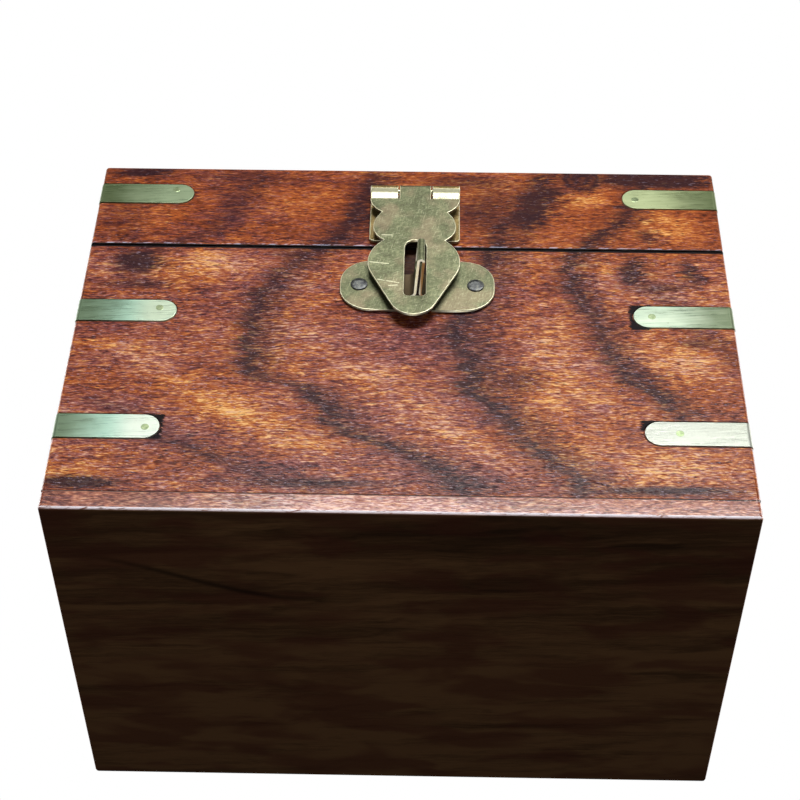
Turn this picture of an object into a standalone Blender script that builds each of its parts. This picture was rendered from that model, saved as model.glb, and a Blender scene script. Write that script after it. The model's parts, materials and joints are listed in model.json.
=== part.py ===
"""Hardwood money box, bound with folded brass straps and closed by a hasp and staple.

Metres, +Z up. The front faces -Y, and the origin is the middle of the underside.
"""

import math

import bmesh
import bpy
from mathutils import Matrix, Vector

# Carcase
BOX_WIDTH = 0.152
BOX_DEPTH = 0.102
BODY_HEIGHT = 0.0829
LID_HEIGHT = 0.029
SEAM_GAP = 0.0004
WALL = 0.008
BASE_THICKNESS = 0.005
TOP_THICKNESS = 0.006
COIN_SLOT_LENGTH = 0.042
COIN_SLOT_WIDTH = 0.005

# Clearances
JOINT_GAP = 0.0003
PIN_PLAY = 0.00025
OVERCUT = 0.002

# Corner straps
STRAP_LEG = 0.0233
STRAP_HEIGHT = 0.007
STRAP_THICKNESS = 0.0006
STRAP_FOLD = 0.0004
STRAP_PROUD = 0.00015
LOWER_STRAP_RISE = 0.0238
UPPER_STRAP_RISE = 0.0603
LID_STRAP_RISE = 0.0187

# Hasp: the leaf on the lid, its pin, and the flap that hangs from it
HASP_X = 0.0019
HASP_WIDTH = 0.0218
HASP_SHEET = 0.0007
HASP_PIN_RADIUS = 0.0006
HASP_AXIS_RISE = 0.0183
FLAP_ROLL = math.radians(290)
TAB_WIDTH = 0.008
LEAF_DROP = 0.0171
LEAF_HEM_LEAN = math.radians(20)
LEAF_HEM_LENGTH = 0.0028
LEAF_CORNER = 0.001
LEAF_NAIL_SPACING = 0.012
LEAF_NAIL_DROP = 0.0095
SHOULDER_DROP = 0.0042
UPPER_NOTCH_DROP = 0.0092
UPPER_NOTCH_WIDTH = 0.016
BULGE_DROP = 0.0146
BULGE_WIDTH = 0.0199
LOWER_NOTCH_DROP = 0.0194
LOWER_NOTCH_WIDTH = 0.0147
WIDEST_DROP = 0.027
TIP_RADIUS = 0.0055
FLAP_LIP = 0.0062
SLOT_CORNER = 0.001
SLOT_PLAY_LEFT = 0.0022
SLOT_PLAY_RIGHT = 0.0002
SLOT_PLAY_ABOVE = 0.0095
SWING_CLEARANCE = 0.001

# Staple plate: two lugs and a strip folded into a hairpin ridge
STAPLE_X = 0.0028
STAPLE_DROP = 0.0138
STAPLE_SHEET = 0.0006
LUG_LENGTH = 0.0363
LUG_HEIGHT = 0.0168
LUG_CORNER = 0.0072
RIDGE_REACH = 0.0123
RIDGE_LENGTH = 0.0073
RIDGE_LEAN = 0.0009
FOLD_GAP = 0.0006
BEND_RADIUS = 0.001
EYE_DEPTH = 0.005
EYE_HEIGHT = 0.0048
EYE_CORNER = 0.0008
EYE_MARGIN = 0.0014

# Nails
NAIL_HEAD_RADIUS = 0.002
NAIL_HEAD_HEIGHT = 0.0005
NAIL_RADIUS = 0.0006
NAIL_LENGTH = 0.005
NAIL_INSET = 0.0045

# Butt hinges let into the seam at the back
HINGE_INSET = 0.031
HINGE_WIDTH = 0.025
HINGE_SHEET = 0.0008
HINGE_PIN_RADIUS = 0.0006
HINGE_KNUCKLE_WALL = 0.00065
HINGE_KNUCKLE_SETBACK = 0.0001
HINGE_LEAF_MARGIN = 0.002
SCREW_SPACING = 0.015
SCREW_HEAD_RADIUS = 0.0012
SCREW_RADIUS = 0.0006
SCREW_LENGTH = 0.0055

# Segments of round forms
ARC_STEPS = 8
ROLL_STEPS = 16
ROUND_SIDES = 16
EDGE_SEGMENTS = 3

# Places that follow from the sizes above
LID_BOTTOM = BODY_HEIGHT + SEAM_GAP
BOX_HEIGHT = LID_BOTTOM + LID_HEIGHT
FRONT_Y = -BOX_DEPTH / 2
BACK_Y = BOX_DEPTH / 2
EDGE_RADIUS = STRAP_FOLD + STRAP_THICKNESS - STRAP_PROUD

KNUCKLE_BORE = HASP_PIN_RADIUS + PIN_PLAY
KNUCKLE_RADIUS = KNUCKLE_BORE + HASP_SHEET
KNUCKLE_MIDDLE = KNUCKLE_BORE + HASP_SHEET / 2
LEAF_ROLL = math.pi + LEAF_HEM_LEAN
LEAF_HEM_DROP = (
    KNUCKLE_RADIUS * math.sin(LEAF_HEM_LEAN) + LEAF_HEM_LENGTH * math.cos(LEAF_HEM_LEAN)
)
HASP_AXIS_Y = FRONT_Y - JOINT_GAP - KNUCKLE_RADIUS
HASP_AXIS_Z = LID_BOTTOM + HASP_AXIS_RISE
HASP_AXIS = Vector((HASP_X, HASP_AXIS_Y, HASP_AXIS_Z))

STAPLE_Z = BODY_HEIGHT - STAPLE_DROP
RIDGE_HALF = FOLD_GAP / 2 + STAPLE_SHEET
LUG_FRONT_Y = FRONT_Y - JOINT_GAP - STAPLE_SHEET
SLOT_TOP_DROP = HASP_AXIS_Z - STAPLE_Z - RIDGE_LENGTH / 2 - SLOT_PLAY_ABOVE
SLOT_BOTTOM_DROP = SWING_CLEARANCE + math.hypot(
    HASP_AXIS_Z - STAPLE_Z + RIDGE_LENGTH / 2,
    HASP_AXIS_Y - FRONT_Y + RIDGE_REACH,
)
FLAP_LENGTH = SLOT_BOTTOM_DROP + FLAP_LIP

HINGE_X = BOX_WIDTH / 2 - HINGE_INSET
HINGE_RADIUS = HINGE_PIN_RADIUS + PIN_PLAY + HINGE_KNUCKLE_WALL
HINGE_AXIS_Y = BACK_Y + JOINT_GAP + HINGE_RADIUS
HINGE_AXIS_Z = BODY_HEIGHT + SEAM_GAP / 2
HINGE_AXIS = Vector((0, HINGE_AXIS_Y, HINGE_AXIS_Z))
HINGE_LEAF_DEPTH = WALL - HINGE_LEAF_MARGIN

# Turns that stand a flat outline up: towards the front, or facing along X
FACING_FRONT = Matrix.Rotation(math.pi / 2, 4, "X")
FACING_SIDE = Matrix(((0, 0, 1, 0), (1, 0, 0, 0), (0, 1, 0, 0), (0, 0, 0, 1)))


# Scene, materials and modelling helpers


def clear_scene():
    """Remove every object and every collection that the file starts with."""
    for obj in list(bpy.data.objects):
        bpy.data.objects.remove(obj)
    for collection in list(bpy.data.collections):
        bpy.data.collections.remove(collection)


def make_collection(name):
    """Add a collection to the scene."""
    collection = bpy.data.collections.new(name)
    bpy.context.scene.collection.children.link(collection)
    return collection


def make_material(name, colour, roughness, metallic):
    """Make a Principled material with one colour."""
    material = bpy.data.materials.new(name)
    material.use_nodes = True
    shader = material.node_tree.nodes["Principled BSDF"]
    shader.inputs["Base Color"].default_value = (*colour, 1)
    shader.inputs["Roughness"].default_value = roughness
    shader.inputs["Metallic"].default_value = metallic
    return material


class Workshop:
    """The collections, materials and joint empties that every piece uses."""

    def __init__(self):
        self.parts = make_collection("money_box")
        self.cutters = make_collection("cutters")
        self.wood = make_material("sheesham", (0.16, 0.045, 0.022), 0.35, 0.0)
        self.base_wood = make_material("sheesham_base", (0.22, 0.07, 0.04), 0.35, 0.0)
        self.strap_brass = make_material("strap_brass", (0.62, 0.58, 0.42), 0.3, 1.0)
        self.hasp_brass = make_material("hasp_brass", (0.55, 0.49, 0.3), 0.35, 1.0)
        self.hinge_brass = make_material("hinge_brass", (0.66, 0.52, 0.26), 0.3, 1.0)
        self.steel = make_material("nail_steel", (0.42, 0.43, 0.46), 0.35, 1.0)
        self.lid_axis = self.joint_empty("lid_axis", HINGE_AXIS)
        self.flap_axis = self.joint_empty("flap_axis", HASP_AXIS)
        self.hang(self.flap_axis, self.lid_axis)

    def joint_empty(self, name, place):
        """Add an empty at a point of a joint's axis."""
        empty = bpy.data.objects.new(name, None)
        empty.empty_display_size = WALL
        empty.location = place
        self.parts.objects.link(empty)
        return empty

    def hang(self, obj, parent):
        """Parent an object and leave it where it is."""
        bpy.context.view_layer.update()
        obj.parent = parent
        obj.matrix_parent_inverse = parent.matrix_world.inverted()

    def piece(self, name, mesh, material, place=Matrix(), parent=None):
        """Add a named part made of this mesh."""
        obj = bpy.data.objects.new(name, mesh)
        obj.data.materials.append(material)
        obj.matrix_world = place
        self.parts.objects.link(obj)
        if parent:
            self.hang(obj, parent)
        return obj

    def cutter(self, name, mesh, place=Matrix()):
        """Add a shape that only cuts or trims other pieces."""
        obj = bpy.data.objects.new(name, mesh)
        obj.matrix_world = place
        obj.hide_render = True
        obj.display_type = "WIRE"
        self.cutters.objects.link(obj)
        return obj


def mesh_from(name, bm):
    """Turn a bmesh into a mesh."""
    mesh = bpy.data.meshes.new(name)
    bm.to_mesh(mesh)
    bm.free()
    return mesh


def boolean(obj, cutter, operation="DIFFERENCE"):
    """Cut, trim or join an object with another."""
    modifier = obj.modifiers.new(cutter.name, "BOOLEAN")
    modifier.operation = operation
    modifier.solver = "EXACT"
    modifier.object = cutter


def box_mesh(name, size, rounded=()):
    """Make a box about its middle, with the edges between these pairs of sides rounded."""
    sides = {
        "left": Vector((-1, 0, 0)),
        "right": Vector((1, 0, 0)),
        "front": Vector((0, -1, 0)),
        "back": Vector((0, 1, 0)),
        "bottom": Vector((0, 0, -1)),
        "top": Vector((0, 0, 1)),
    }
    bm = bmesh.new()
    bmesh.ops.create_cube(bm, size=1)
    bmesh.ops.scale(bm, vec=size, verts=bm.verts)
    bm.normal_update()
    chosen = []
    for first, second in rounded:
        for edge in bm.edges:
            normals = [face.normal for face in edge.link_faces]
            if all(any(n.dot(sides[side]) > 0.9 for n in normals) for side in (first, second)):
                chosen.append(edge)
    if chosen:
        bmesh.ops.bevel(
            bm,
            geom=chosen,
            offset=EDGE_RADIUS,
            offset_type="OFFSET",
            segments=EDGE_SEGMENTS,
            profile=0.5,
            affect="EDGES",
        )
    return mesh_from(name, bm)


def cylinder_mesh(name, radius, length):
    """Make a round bar along its own Z, about its middle."""
    bm = bmesh.new()
    bmesh.ops.create_cone(
        bm,
        cap_ends=True,
        segments=ROUND_SIDES,
        radius1=radius,
        radius2=radius,
        depth=length,
    )
    mesh = mesh_from(name, bm)
    mesh.shade_smooth()
    mesh.set_sharp_from_angle(angle=math.radians(40))
    return mesh


def prism_mesh(name, outline, thickness):
    """Fill a flat outline and thicken it both ways along its own Z."""
    curve = bpy.data.curves.new(name, "CURVE")
    curve.dimensions = "2D"
    curve.fill_mode = "BOTH"
    curve.extrude = thickness / 2
    spline = curve.splines.new("POLY")
    spline.points.add(len(outline) - 1)
    for point, (across, up) in zip(spline.points, outline):
        point.co = (across, up, 0, 1)
    spline.use_cyclic_u = True
    shape = bpy.data.objects.new(name, curve)
    bpy.context.scene.collection.objects.link(shape)
    graph = bpy.context.evaluated_depsgraph_get()
    mesh = bpy.data.meshes.new_from_object(shape.evaluated_get(graph))
    bpy.data.objects.remove(shape)
    bm = bmesh.new()
    bm.from_mesh(mesh)
    bmesh.ops.remove_doubles(bm, verts=bm.verts, dist=1e-6)
    bmesh.ops.recalc_face_normals(bm, faces=bm.faces)
    bm.to_mesh(mesh)
    bm.free()
    mesh.name = name
    return mesh


def sheet_mesh(name, path, width):
    """Sweep an open path straight along its own Z into a surface, about its middle."""
    bm = bmesh.new()
    points = [bm.verts.new((across, up, -width / 2)) for across, up in path]
    edges = [bm.edges.new(pair) for pair in zip(points, points[1:])]
    swept = bmesh.ops.extrude_edge_only(bm, edges=edges)["geom"]
    moved = [item for item in swept if isinstance(item, bmesh.types.BMVert)]
    bmesh.ops.translate(bm, vec=(0, 0, width), verts=moved)
    return mesh_from(name, bm)


def solidify(obj, thickness, offset):
    """Give a surface its thickness: offset 0 is half each way, -1 is all behind it."""
    modifier = obj.modifiers.new("thickness", "SOLIDIFY")
    modifier.thickness = thickness
    modifier.offset = offset
    modifier.use_even_offset = True


def turned_piece(obj):
    """Spin a profile round the object's own Z."""
    modifier = obj.modifiers.new("turn", "SCREW")
    modifier.axis = "Z"
    modifier.steps = ROUND_SIDES
    modifier.render_steps = ROUND_SIDES
    modifier.use_merge_vertices = True
    modifier.merge_threshold = 1e-5
    modifier.use_smooth_shade = True


def profile_mesh(name, profile):
    """Make an open profile of (radius, height) points, top to bottom."""
    bm = bmesh.new()
    points = [bm.verts.new((radius, 0, height)) for radius, height in profile]
    for pair in zip(points, points[1:]):
        bm.edges.new(pair)
    return mesh_from(name, bm)


def arc(centre, radius, start, end, steps=ARC_STEPS):
    """List points along an arc, both ends included."""
    angles = [start + (end - start) * i / steps for i in range(steps + 1)]
    return [
        (centre[0] + radius * math.cos(a), centre[1] + radius * math.sin(a))
        for a in angles
    ]


def rounded_rectangle(width, height, radius):
    """Outline a rectangle about its middle, with round corners."""
    x = width / 2 - radius
    y = height / 2 - radius
    quarter = math.pi / 2
    corners = ((x, y), (-x, y), (-x, -y), (x, -y))
    outline = []
    for turn, corner in enumerate(corners):
        outline += arc(corner, radius, turn * quarter, (turn + 1) * quarter)
    return outline


def moved(x, y, z, turn=Matrix()):
    """Place: a turn, then a shift."""
    return Matrix.Translation((x, y, z)) @ turn


# Carcase


def board(shop, name, low, high, rounded, parent=None, material=None):
    """Add a board between two opposite corners."""
    low = Vector(low)
    high = Vector(high)
    mesh = box_mesh(name, high - low, rounded)
    middle = Matrix.Translation((low + high) / 2)
    return shop.piece(name, mesh, material or shop.wood, middle, parent)


def walls(shop, prefix, suffix, low_z, high_z, top_rounded, parent=None):
    """Add four walls: front and back run the full width, and the sides fit between them."""
    half = BOX_WIDTH / 2
    end = BACK_Y - WALL
    ends = [("left", "top"), ("right", "top")] if top_rounded else []
    names = {side: f"{prefix}{side}_{suffix}" for side in ("front", "back", "left", "right")}
    made = {}
    for side, y in (("front", FRONT_Y), ("back", end)):
        rounded = [(side, "left"), (side, "right")] + ends
        if top_rounded:
            rounded.append((side, "top"))
        low = (-half, y, low_z)
        high = (half, y + WALL, high_z)
        made[side] = board(shop, names[side], low, high, rounded, parent)
    for side, x in (("left", -half), ("right", half - WALL)):
        rounded = [(side, "top")] if top_rounded else []
        low = (x, -end + JOINT_GAP, low_z)
        high = (x + WALL, end - JOINT_GAP, high_z)
        made[side] = board(shop, names[side], low, high, rounded, parent)
    return made


def base_board(shop):
    """Add the base, flush with the walls that stand on it."""
    sides = ("front", "right", "back", "left")
    uprights = list(zip(sides, sides[1:] + sides[:1]))
    lower = [(side, "bottom") for side in sides]
    half = BOX_WIDTH / 2
    low = (-half, FRONT_Y, 0)
    high = (half, BACK_Y, BASE_THICKNESS)
    board(shop, "base_board", low, high, uprights + lower, material=shop.base_wood)


def lid_top_board(shop):
    """Add the top, inset between the lid's rails, with the coin slot through it."""
    x = BOX_WIDTH / 2 - WALL - JOINT_GAP
    y = BACK_Y - WALL - JOINT_GAP
    low = (-x, -y, BOX_HEIGHT - TOP_THICKNESS)
    high = (x, y, BOX_HEIGHT)
    top = board(shop, "lid_top_board", low, high, [], shop.lid_axis)
    outline = rounded_rectangle(COIN_SLOT_LENGTH, COIN_SLOT_WIDTH, COIN_SLOT_WIDTH / 2)
    mesh = prism_mesh("coin_slot", outline, TOP_THICKNESS + 2 * OVERCUT)
    place = moved(0, 0, BOX_HEIGHT - TOP_THICKNESS / 2)
    boolean(top, shop.cutter("coin_slot", mesh, place))


# Corner straps


def folded_strip_mesh(name, leg, height, fold_radius):
    """Fold a round-ended strip over a corner whose outer faces are its own X = 0 and Y = 0.

    One leg lies on Y = 0 and runs to -X, and the other lies on X = 0 and runs to -Y.
    """
    bend = fold_radius * math.pi / 2
    half_length = leg - fold_radius + bend / 2
    outline = rounded_rectangle(2 * half_length, height, height / 2)
    bm = bmesh.new()
    face = bm.faces.new([bm.verts.new((along, up, 0)) for along, up in outline])
    bmesh.ops.remove_doubles(bm, verts=face.verts, dist=1e-6)
    for step in range(EDGE_SEGMENTS + 1):
        bmesh.ops.bisect_plane(
            bm,
            geom=bm.verts[:] + bm.edges[:] + bm.faces[:],
            plane_co=(bend * (step / EDGE_SEGMENTS - 0.5), 0, 0),
            plane_no=(1, 0, 0),
        )
    for vert in bm.verts:
        along, up, _ = vert.co
        angle = math.pi / 2 * (0.5 - max(-0.5, min(0.5, along / bend)))
        x = fold_radius * (math.cos(angle) - 1) + min(0, along + bend / 2)
        y = fold_radius * (math.sin(angle) - 1) - max(0, along - bend / 2)
        vert.co = (x, y, up)
    bmesh.ops.reverse_faces(bm, faces=bm.faces)
    return mesh_from(name, bm)


def corner_straps(shop, prefix, walls_by_side, rises, parent=None):
    """Bind the four upright corners with a strap at each height, let into the walls."""
    pocket_depth = STRAP_THICKNESS + JOINT_GAP + OVERCUT
    mesh = folded_strip_mesh("strap", STRAP_LEG, STRAP_HEIGHT, STRAP_FOLD + STRAP_THICKNESS)
    pocket = folded_strip_mesh(
        "strap_pocket",
        STRAP_LEG + JOINT_GAP + OVERCUT,
        STRAP_HEIGHT + 2 * JOINT_GAP,
        STRAP_FOLD + pocket_depth,
    )
    corners = (("back", "right"), ("back", "left"), ("front", "left"), ("front", "right"))
    for row, rise in rises.items():
        for quarter_turns, (across, side) in enumerate(corners):
            turn = Matrix.Rotation(quarter_turns * math.pi / 2, 4, "Z")
            x = BOX_WIDTH / 2 * (1 if side == "right" else -1)
            y = BACK_Y if across == "back" else FRONT_Y
            corner = moved(x, y, rise, turn)
            name = f"{prefix}{row}strap_{across}_{side}"
            place = corner @ Matrix.Translation((STRAP_PROUD, STRAP_PROUD, 0))
            strap = shop.piece(name, mesh.copy(), shop.strap_brass, place, parent)
            solidify(strap, STRAP_THICKNESS, -1)
            outside = STRAP_PROUD + OVERCUT
            cut_place = corner @ Matrix.Translation((outside, outside, 0))
            cutter = shop.cutter(name + "_pocket", pocket, cut_place)
            solidify(cutter, pocket_depth, -1)
            boolean(walls_by_side[across], cutter)
            boolean(walls_by_side[side], cutter)


# Nails and screws


def nail(shop, name, place, held, parent=None):
    """Drive a low-headed nail through a plate into wood; its own Z points out of the wood."""
    dome = NAIL_HEAD_HEIGHT
    rim = dome / 3
    profile = [
        (0, dome),
        (NAIL_HEAD_RADIUS / 2, dome - rim / 4),
        (NAIL_HEAD_RADIUS, rim),
        (NAIL_HEAD_RADIUS, 0),
        (NAIL_RADIUS, 0),
        (NAIL_RADIUS, -NAIL_LENGTH),
        (0, -NAIL_LENGTH - NAIL_RADIUS),
    ]
    seat = place @ Matrix.Translation((0, 0, JOINT_GAP))
    turned_piece(shop.piece(name, profile_mesh(name, profile), shop.steel, seat, parent))
    length = NAIL_LENGTH + NAIL_RADIUS + OVERCUT
    mesh = cylinder_mesh(name + "_hole", NAIL_RADIUS + JOINT_GAP, length)
    middle = place @ Matrix.Translation((0, 0, OVERCUT - length / 2))
    hole = shop.cutter(name + "_hole", mesh, middle)
    for obj in held:
        boolean(obj, hole)


def screw(shop, name, place, held, parent=None):
    """Sink a flat-headed screw through a hinge leaf; its own Z points out of the leaf."""

    def profile(grown):
        head = SCREW_HEAD_RADIUS + grown
        shank = SCREW_RADIUS + grown
        cone = SCREW_HEAD_RADIUS - SCREW_RADIUS
        tip = SCREW_LENGTH + grown
        sunk = [(head, 0), (shank, -cone), (shank, -tip), (0, -tip - SCREW_RADIUS)]
        return [(0, 0)] + sunk if grown == 0 else [(0, OVERCUT), (head, OVERCUT)] + sunk

    mesh = profile_mesh(name, profile(0))
    turned_piece(shop.piece(name, mesh, shop.hinge_brass, place, parent))
    hole = shop.cutter(name + "_hole", profile_mesh(name + "_hole", profile(JOINT_GAP)), place)
    turned_piece(hole)
    for obj in held:
        boolean(obj, hole)


# Hasp


def rolled_path(plate_length, towards, roll_angle, hem_length=0):
    """Side view of a sheet hanging from a rolled knuckle, through the middle of its thickness.

    The pin is at (0, 0). The sheet hangs on the side towards -1 (front) or +1 (back), rolls over
    the top of the pin and can run on straight as a hem.
    """
    path = [(KNUCKLE_MIDDLE, -plate_length)]
    path += arc((0, 0), KNUCKLE_MIDDLE, 0, roll_angle, ROLL_STEPS)
    if hem_length:
        across, up = path[-1]
        across -= hem_length * math.sin(roll_angle)
        up += hem_length * math.cos(roll_angle)
        path.append((across, up))
    return [(towards * across, up) for across, up in path]


def lobe(widest_width, widest_drop, notch_width, notch_drop):
    """Arc from a widest point, where it runs straight down, to a notch above or below it."""
    inward = (widest_width - notch_width) / 2
    drop = notch_drop - widest_drop
    radius = (inward**2 + drop**2) / (2 * inward)
    end = math.asin(drop / radius)
    centre = (widest_width / 2 - radius, widest_drop)
    return arc(centre, radius, 0, end)


def flap_tip():
    """Half outline from the lower notch round the lowest lobe and down a taper to the tip."""
    upper = lobe(HASP_WIDTH, WIDEST_DROP, LOWER_NOTCH_WIDTH, LOWER_NOTCH_DROP)[::-1]
    inward = (HASP_WIDTH - LOWER_NOTCH_WIDTH) / 2
    radius = (inward**2 + (WIDEST_DROP - LOWER_NOTCH_DROP) ** 2) / (2 * inward)
    lobe_centre = (HASP_WIDTH / 2 - radius, WIDEST_DROP)
    tip_centre = (0, FLAP_LENGTH - TIP_RADIUS)
    between = math.hypot(lobe_centre[0], tip_centre[1] - lobe_centre[1])
    slope = math.asin((radius - TIP_RADIUS) / between)
    slope += math.atan2(lobe_centre[0], tip_centre[1] - lobe_centre[1])
    lower = arc(lobe_centre, radius, 0, slope, ARC_STEPS // 2)
    tip = arc(tip_centre, TIP_RADIUS, slope, math.pi / 2)
    return upper + lower[1:] + tip


def flap_outline():
    """Outline of the flap and its tab, pin at (0, 0), seen from the front."""
    tab = TAB_WIDTH / 2 - JOINT_GAP / 2
    half = [(tab, -2 * KNUCKLE_RADIUS), (tab, SHOULDER_DROP)]
    half += lobe(HASP_WIDTH, SHOULDER_DROP, UPPER_NOTCH_WIDTH, UPPER_NOTCH_DROP)
    half += lobe(BULGE_WIDTH, BULGE_DROP, UPPER_NOTCH_WIDTH, UPPER_NOTCH_DROP)[-2::-1]
    half += lobe(BULGE_WIDTH, BULGE_DROP, LOWER_NOTCH_WIDTH, LOWER_NOTCH_DROP)[1:]
    half += flap_tip()[1:]
    right = [(across, -drop) for across, drop in half]
    return right + [(-across, up) for across, up in right[-2::-1]]


def slot_outline():
    """Outline of the staple slot: round above, small corners below, seen from the front."""
    left = STAPLE_X - HASP_X - RIDGE_HALF - SLOT_PLAY_LEFT
    right = STAPLE_X - HASP_X + RIDGE_LEAN + RIDGE_HALF + SLOT_PLAY_RIGHT
    crown = (right - left) / 2
    low = -SLOT_BOTTOM_DROP + SLOT_CORNER
    quarter = math.pi / 2
    outline = arc(((left + right) / 2, -SLOT_TOP_DROP - crown), crown, 0, math.pi)
    outline += arc((left + SLOT_CORNER, low), SLOT_CORNER, math.pi, 3 * quarter, ARC_STEPS // 2)
    outline += arc((right - SLOT_CORNER, low), SLOT_CORNER, -quarter, 0, ARC_STEPS // 2)
    return outline


def hasp(shop, lid_front):
    """Hang the flap from the leaf that is nailed to the lid."""
    trim_depth = 4 * KNUCKLE_RADIUS + OVERCUT
    stand = Matrix.Translation(HASP_AXIS)

    leaf_path = rolled_path(LEAF_DROP, 1, LEAF_ROLL, LEAF_HEM_LENGTH)
    leaf_mesh = sheet_mesh("hasp_leaf", leaf_path, HASP_WIDTH)
    leaf = shop.piece("hasp_leaf", leaf_mesh, shop.hasp_brass, stand @ FACING_SIDE, shop.lid_axis)
    solidify(leaf, HASP_SHEET, 0)
    corners = rounded_rectangle(HASP_WIDTH, 2 * LEAF_DROP, LEAF_CORNER)
    trim_mesh = prism_mesh("leaf_corners", corners, trim_depth)
    boolean(leaf, shop.cutter("leaf_corners", trim_mesh, stand @ FACING_FRONT), "INTERSECT")
    notch_size = Vector((TAB_WIDTH + JOINT_GAP, trim_depth, 2 * (LEAF_HEM_DROP + JOINT_GAP)))
    boolean(leaf, shop.cutter("leaf_notch", box_mesh("leaf_notch", notch_size), stand))

    leaf_front = FRONT_Y - JOINT_GAP - HASP_SHEET
    for side, sign in (("left", -1), ("right", 1)):
        x = HASP_X + sign * LEAF_NAIL_SPACING / 2
        place = moved(x, leaf_front, HASP_AXIS_Z - LEAF_NAIL_DROP, FACING_FRONT)
        nail(shop, f"hasp_nail_{side}", place, (leaf, lid_front), shop.lid_axis)

    pin_mesh = cylinder_mesh("hasp_pin", HASP_PIN_RADIUS, HASP_WIDTH)
    along_x = stand @ Matrix.Rotation(math.pi / 2, 4, "Y")
    shop.piece("hasp_pin", pin_mesh, shop.hasp_brass, along_x, shop.lid_axis)

    flap_path = rolled_path(FLAP_LENGTH + OVERCUT, -1, FLAP_ROLL)
    flap_mesh = sheet_mesh("hasp_flap", flap_path, HASP_WIDTH + OVERCUT)
    flap = shop.piece("hasp_flap", flap_mesh, shop.hasp_brass, stand @ FACING_SIDE, shop.flap_axis)
    solidify(flap, HASP_SHEET, 0)
    edge_mesh = prism_mesh("flap_edge", flap_outline(), trim_depth)
    boolean(flap, shop.cutter("flap_edge", edge_mesh, stand @ FACING_FRONT), "INTERSECT")
    slot_mesh = prism_mesh("staple_slot", slot_outline(), trim_depth)
    boolean(flap, shop.cutter("staple_slot", slot_mesh, stand @ FACING_FRONT))


# Staple plate


def staple_path():
    """Plan view of the folded strip through the middle of its thickness: (x, reach off the wood)."""
    bend = BEND_RADIUS + STAPLE_SHEET / 2
    lug_reach = JOINT_GAP + STAPLE_SHEET / 2
    fold = RIDGE_HALF - STAPLE_SHEET / 2
    quarter = math.pi / 2
    half = [(LUG_LENGTH / 2 + OVERCUT, lug_reach)]
    half += arc((fold + bend, lug_reach + bend), bend, -quarter, -2 * quarter)
    half += arc((0, RIDGE_REACH - RIDGE_HALF), fold, 0, quarter)
    whole = half + [(-across, reach) for across, reach in half[-2::-1]]
    rise = RIDGE_REACH - lug_reach
    return [(across + RIDGE_LEAN * (reach - lug_reach) / rise, -reach) for across, reach in whole]


def staple(shop, front):
    """Nail the staple plate under the flap's slot."""
    middle = moved(STAPLE_X, FRONT_Y, STAPLE_Z)
    mesh = sheet_mesh("staple_plate", staple_path(), LUG_HEIGHT + OVERCUT)
    plate = shop.piece("staple_plate", mesh, shop.hasp_brass, middle)
    solidify(plate, STAPLE_SHEET, 0)

    deep = 2 * (RIDGE_REACH + OVERCUT)
    lugs = prism_mesh("lug_edge", rounded_rectangle(LUG_LENGTH, LUG_HEIGHT, LUG_CORNER), deep)
    boolean(plate, shop.cutter("lug_edge", lugs, middle @ FACING_FRONT), "INTERSECT")

    bend_half = RIDGE_HALF + BEND_RADIUS + STAPLE_SHEET + RIDGE_LEAN
    shoulder = LUG_HEIGHT
    relief = box_mesh("fold_relief", Vector((2 * bend_half, deep, shoulder)))
    for side, sign in (("upper", 1), ("lower", -1)):
        place = middle @ Matrix.Translation((0, 0, sign * (RIDGE_LENGTH + shoulder) / 2))
        boolean(plate, shop.cutter(f"fold_relief_{side}", relief, place))

    eye = prism_mesh("padlock_eye", rounded_rectangle(EYE_DEPTH, EYE_HEIGHT, EYE_CORNER), LUG_LENGTH)
    eye_y = -RIDGE_REACH + EYE_MARGIN + EYE_DEPTH / 2
    eye_place = middle @ Matrix.Translation((0, eye_y, 0)) @ FACING_SIDE
    boolean(plate, shop.cutter("padlock_eye", eye, eye_place))

    for side, sign in (("left", -1), ("right", 1)):
        x = STAPLE_X + sign * (LUG_LENGTH / 2 - NAIL_INSET)
        nail(shop, f"staple_nail_{side}", moved(x, LUG_FRONT_Y, STAPLE_Z, FACING_FRONT), (plate, front))


# Hinges


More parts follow.
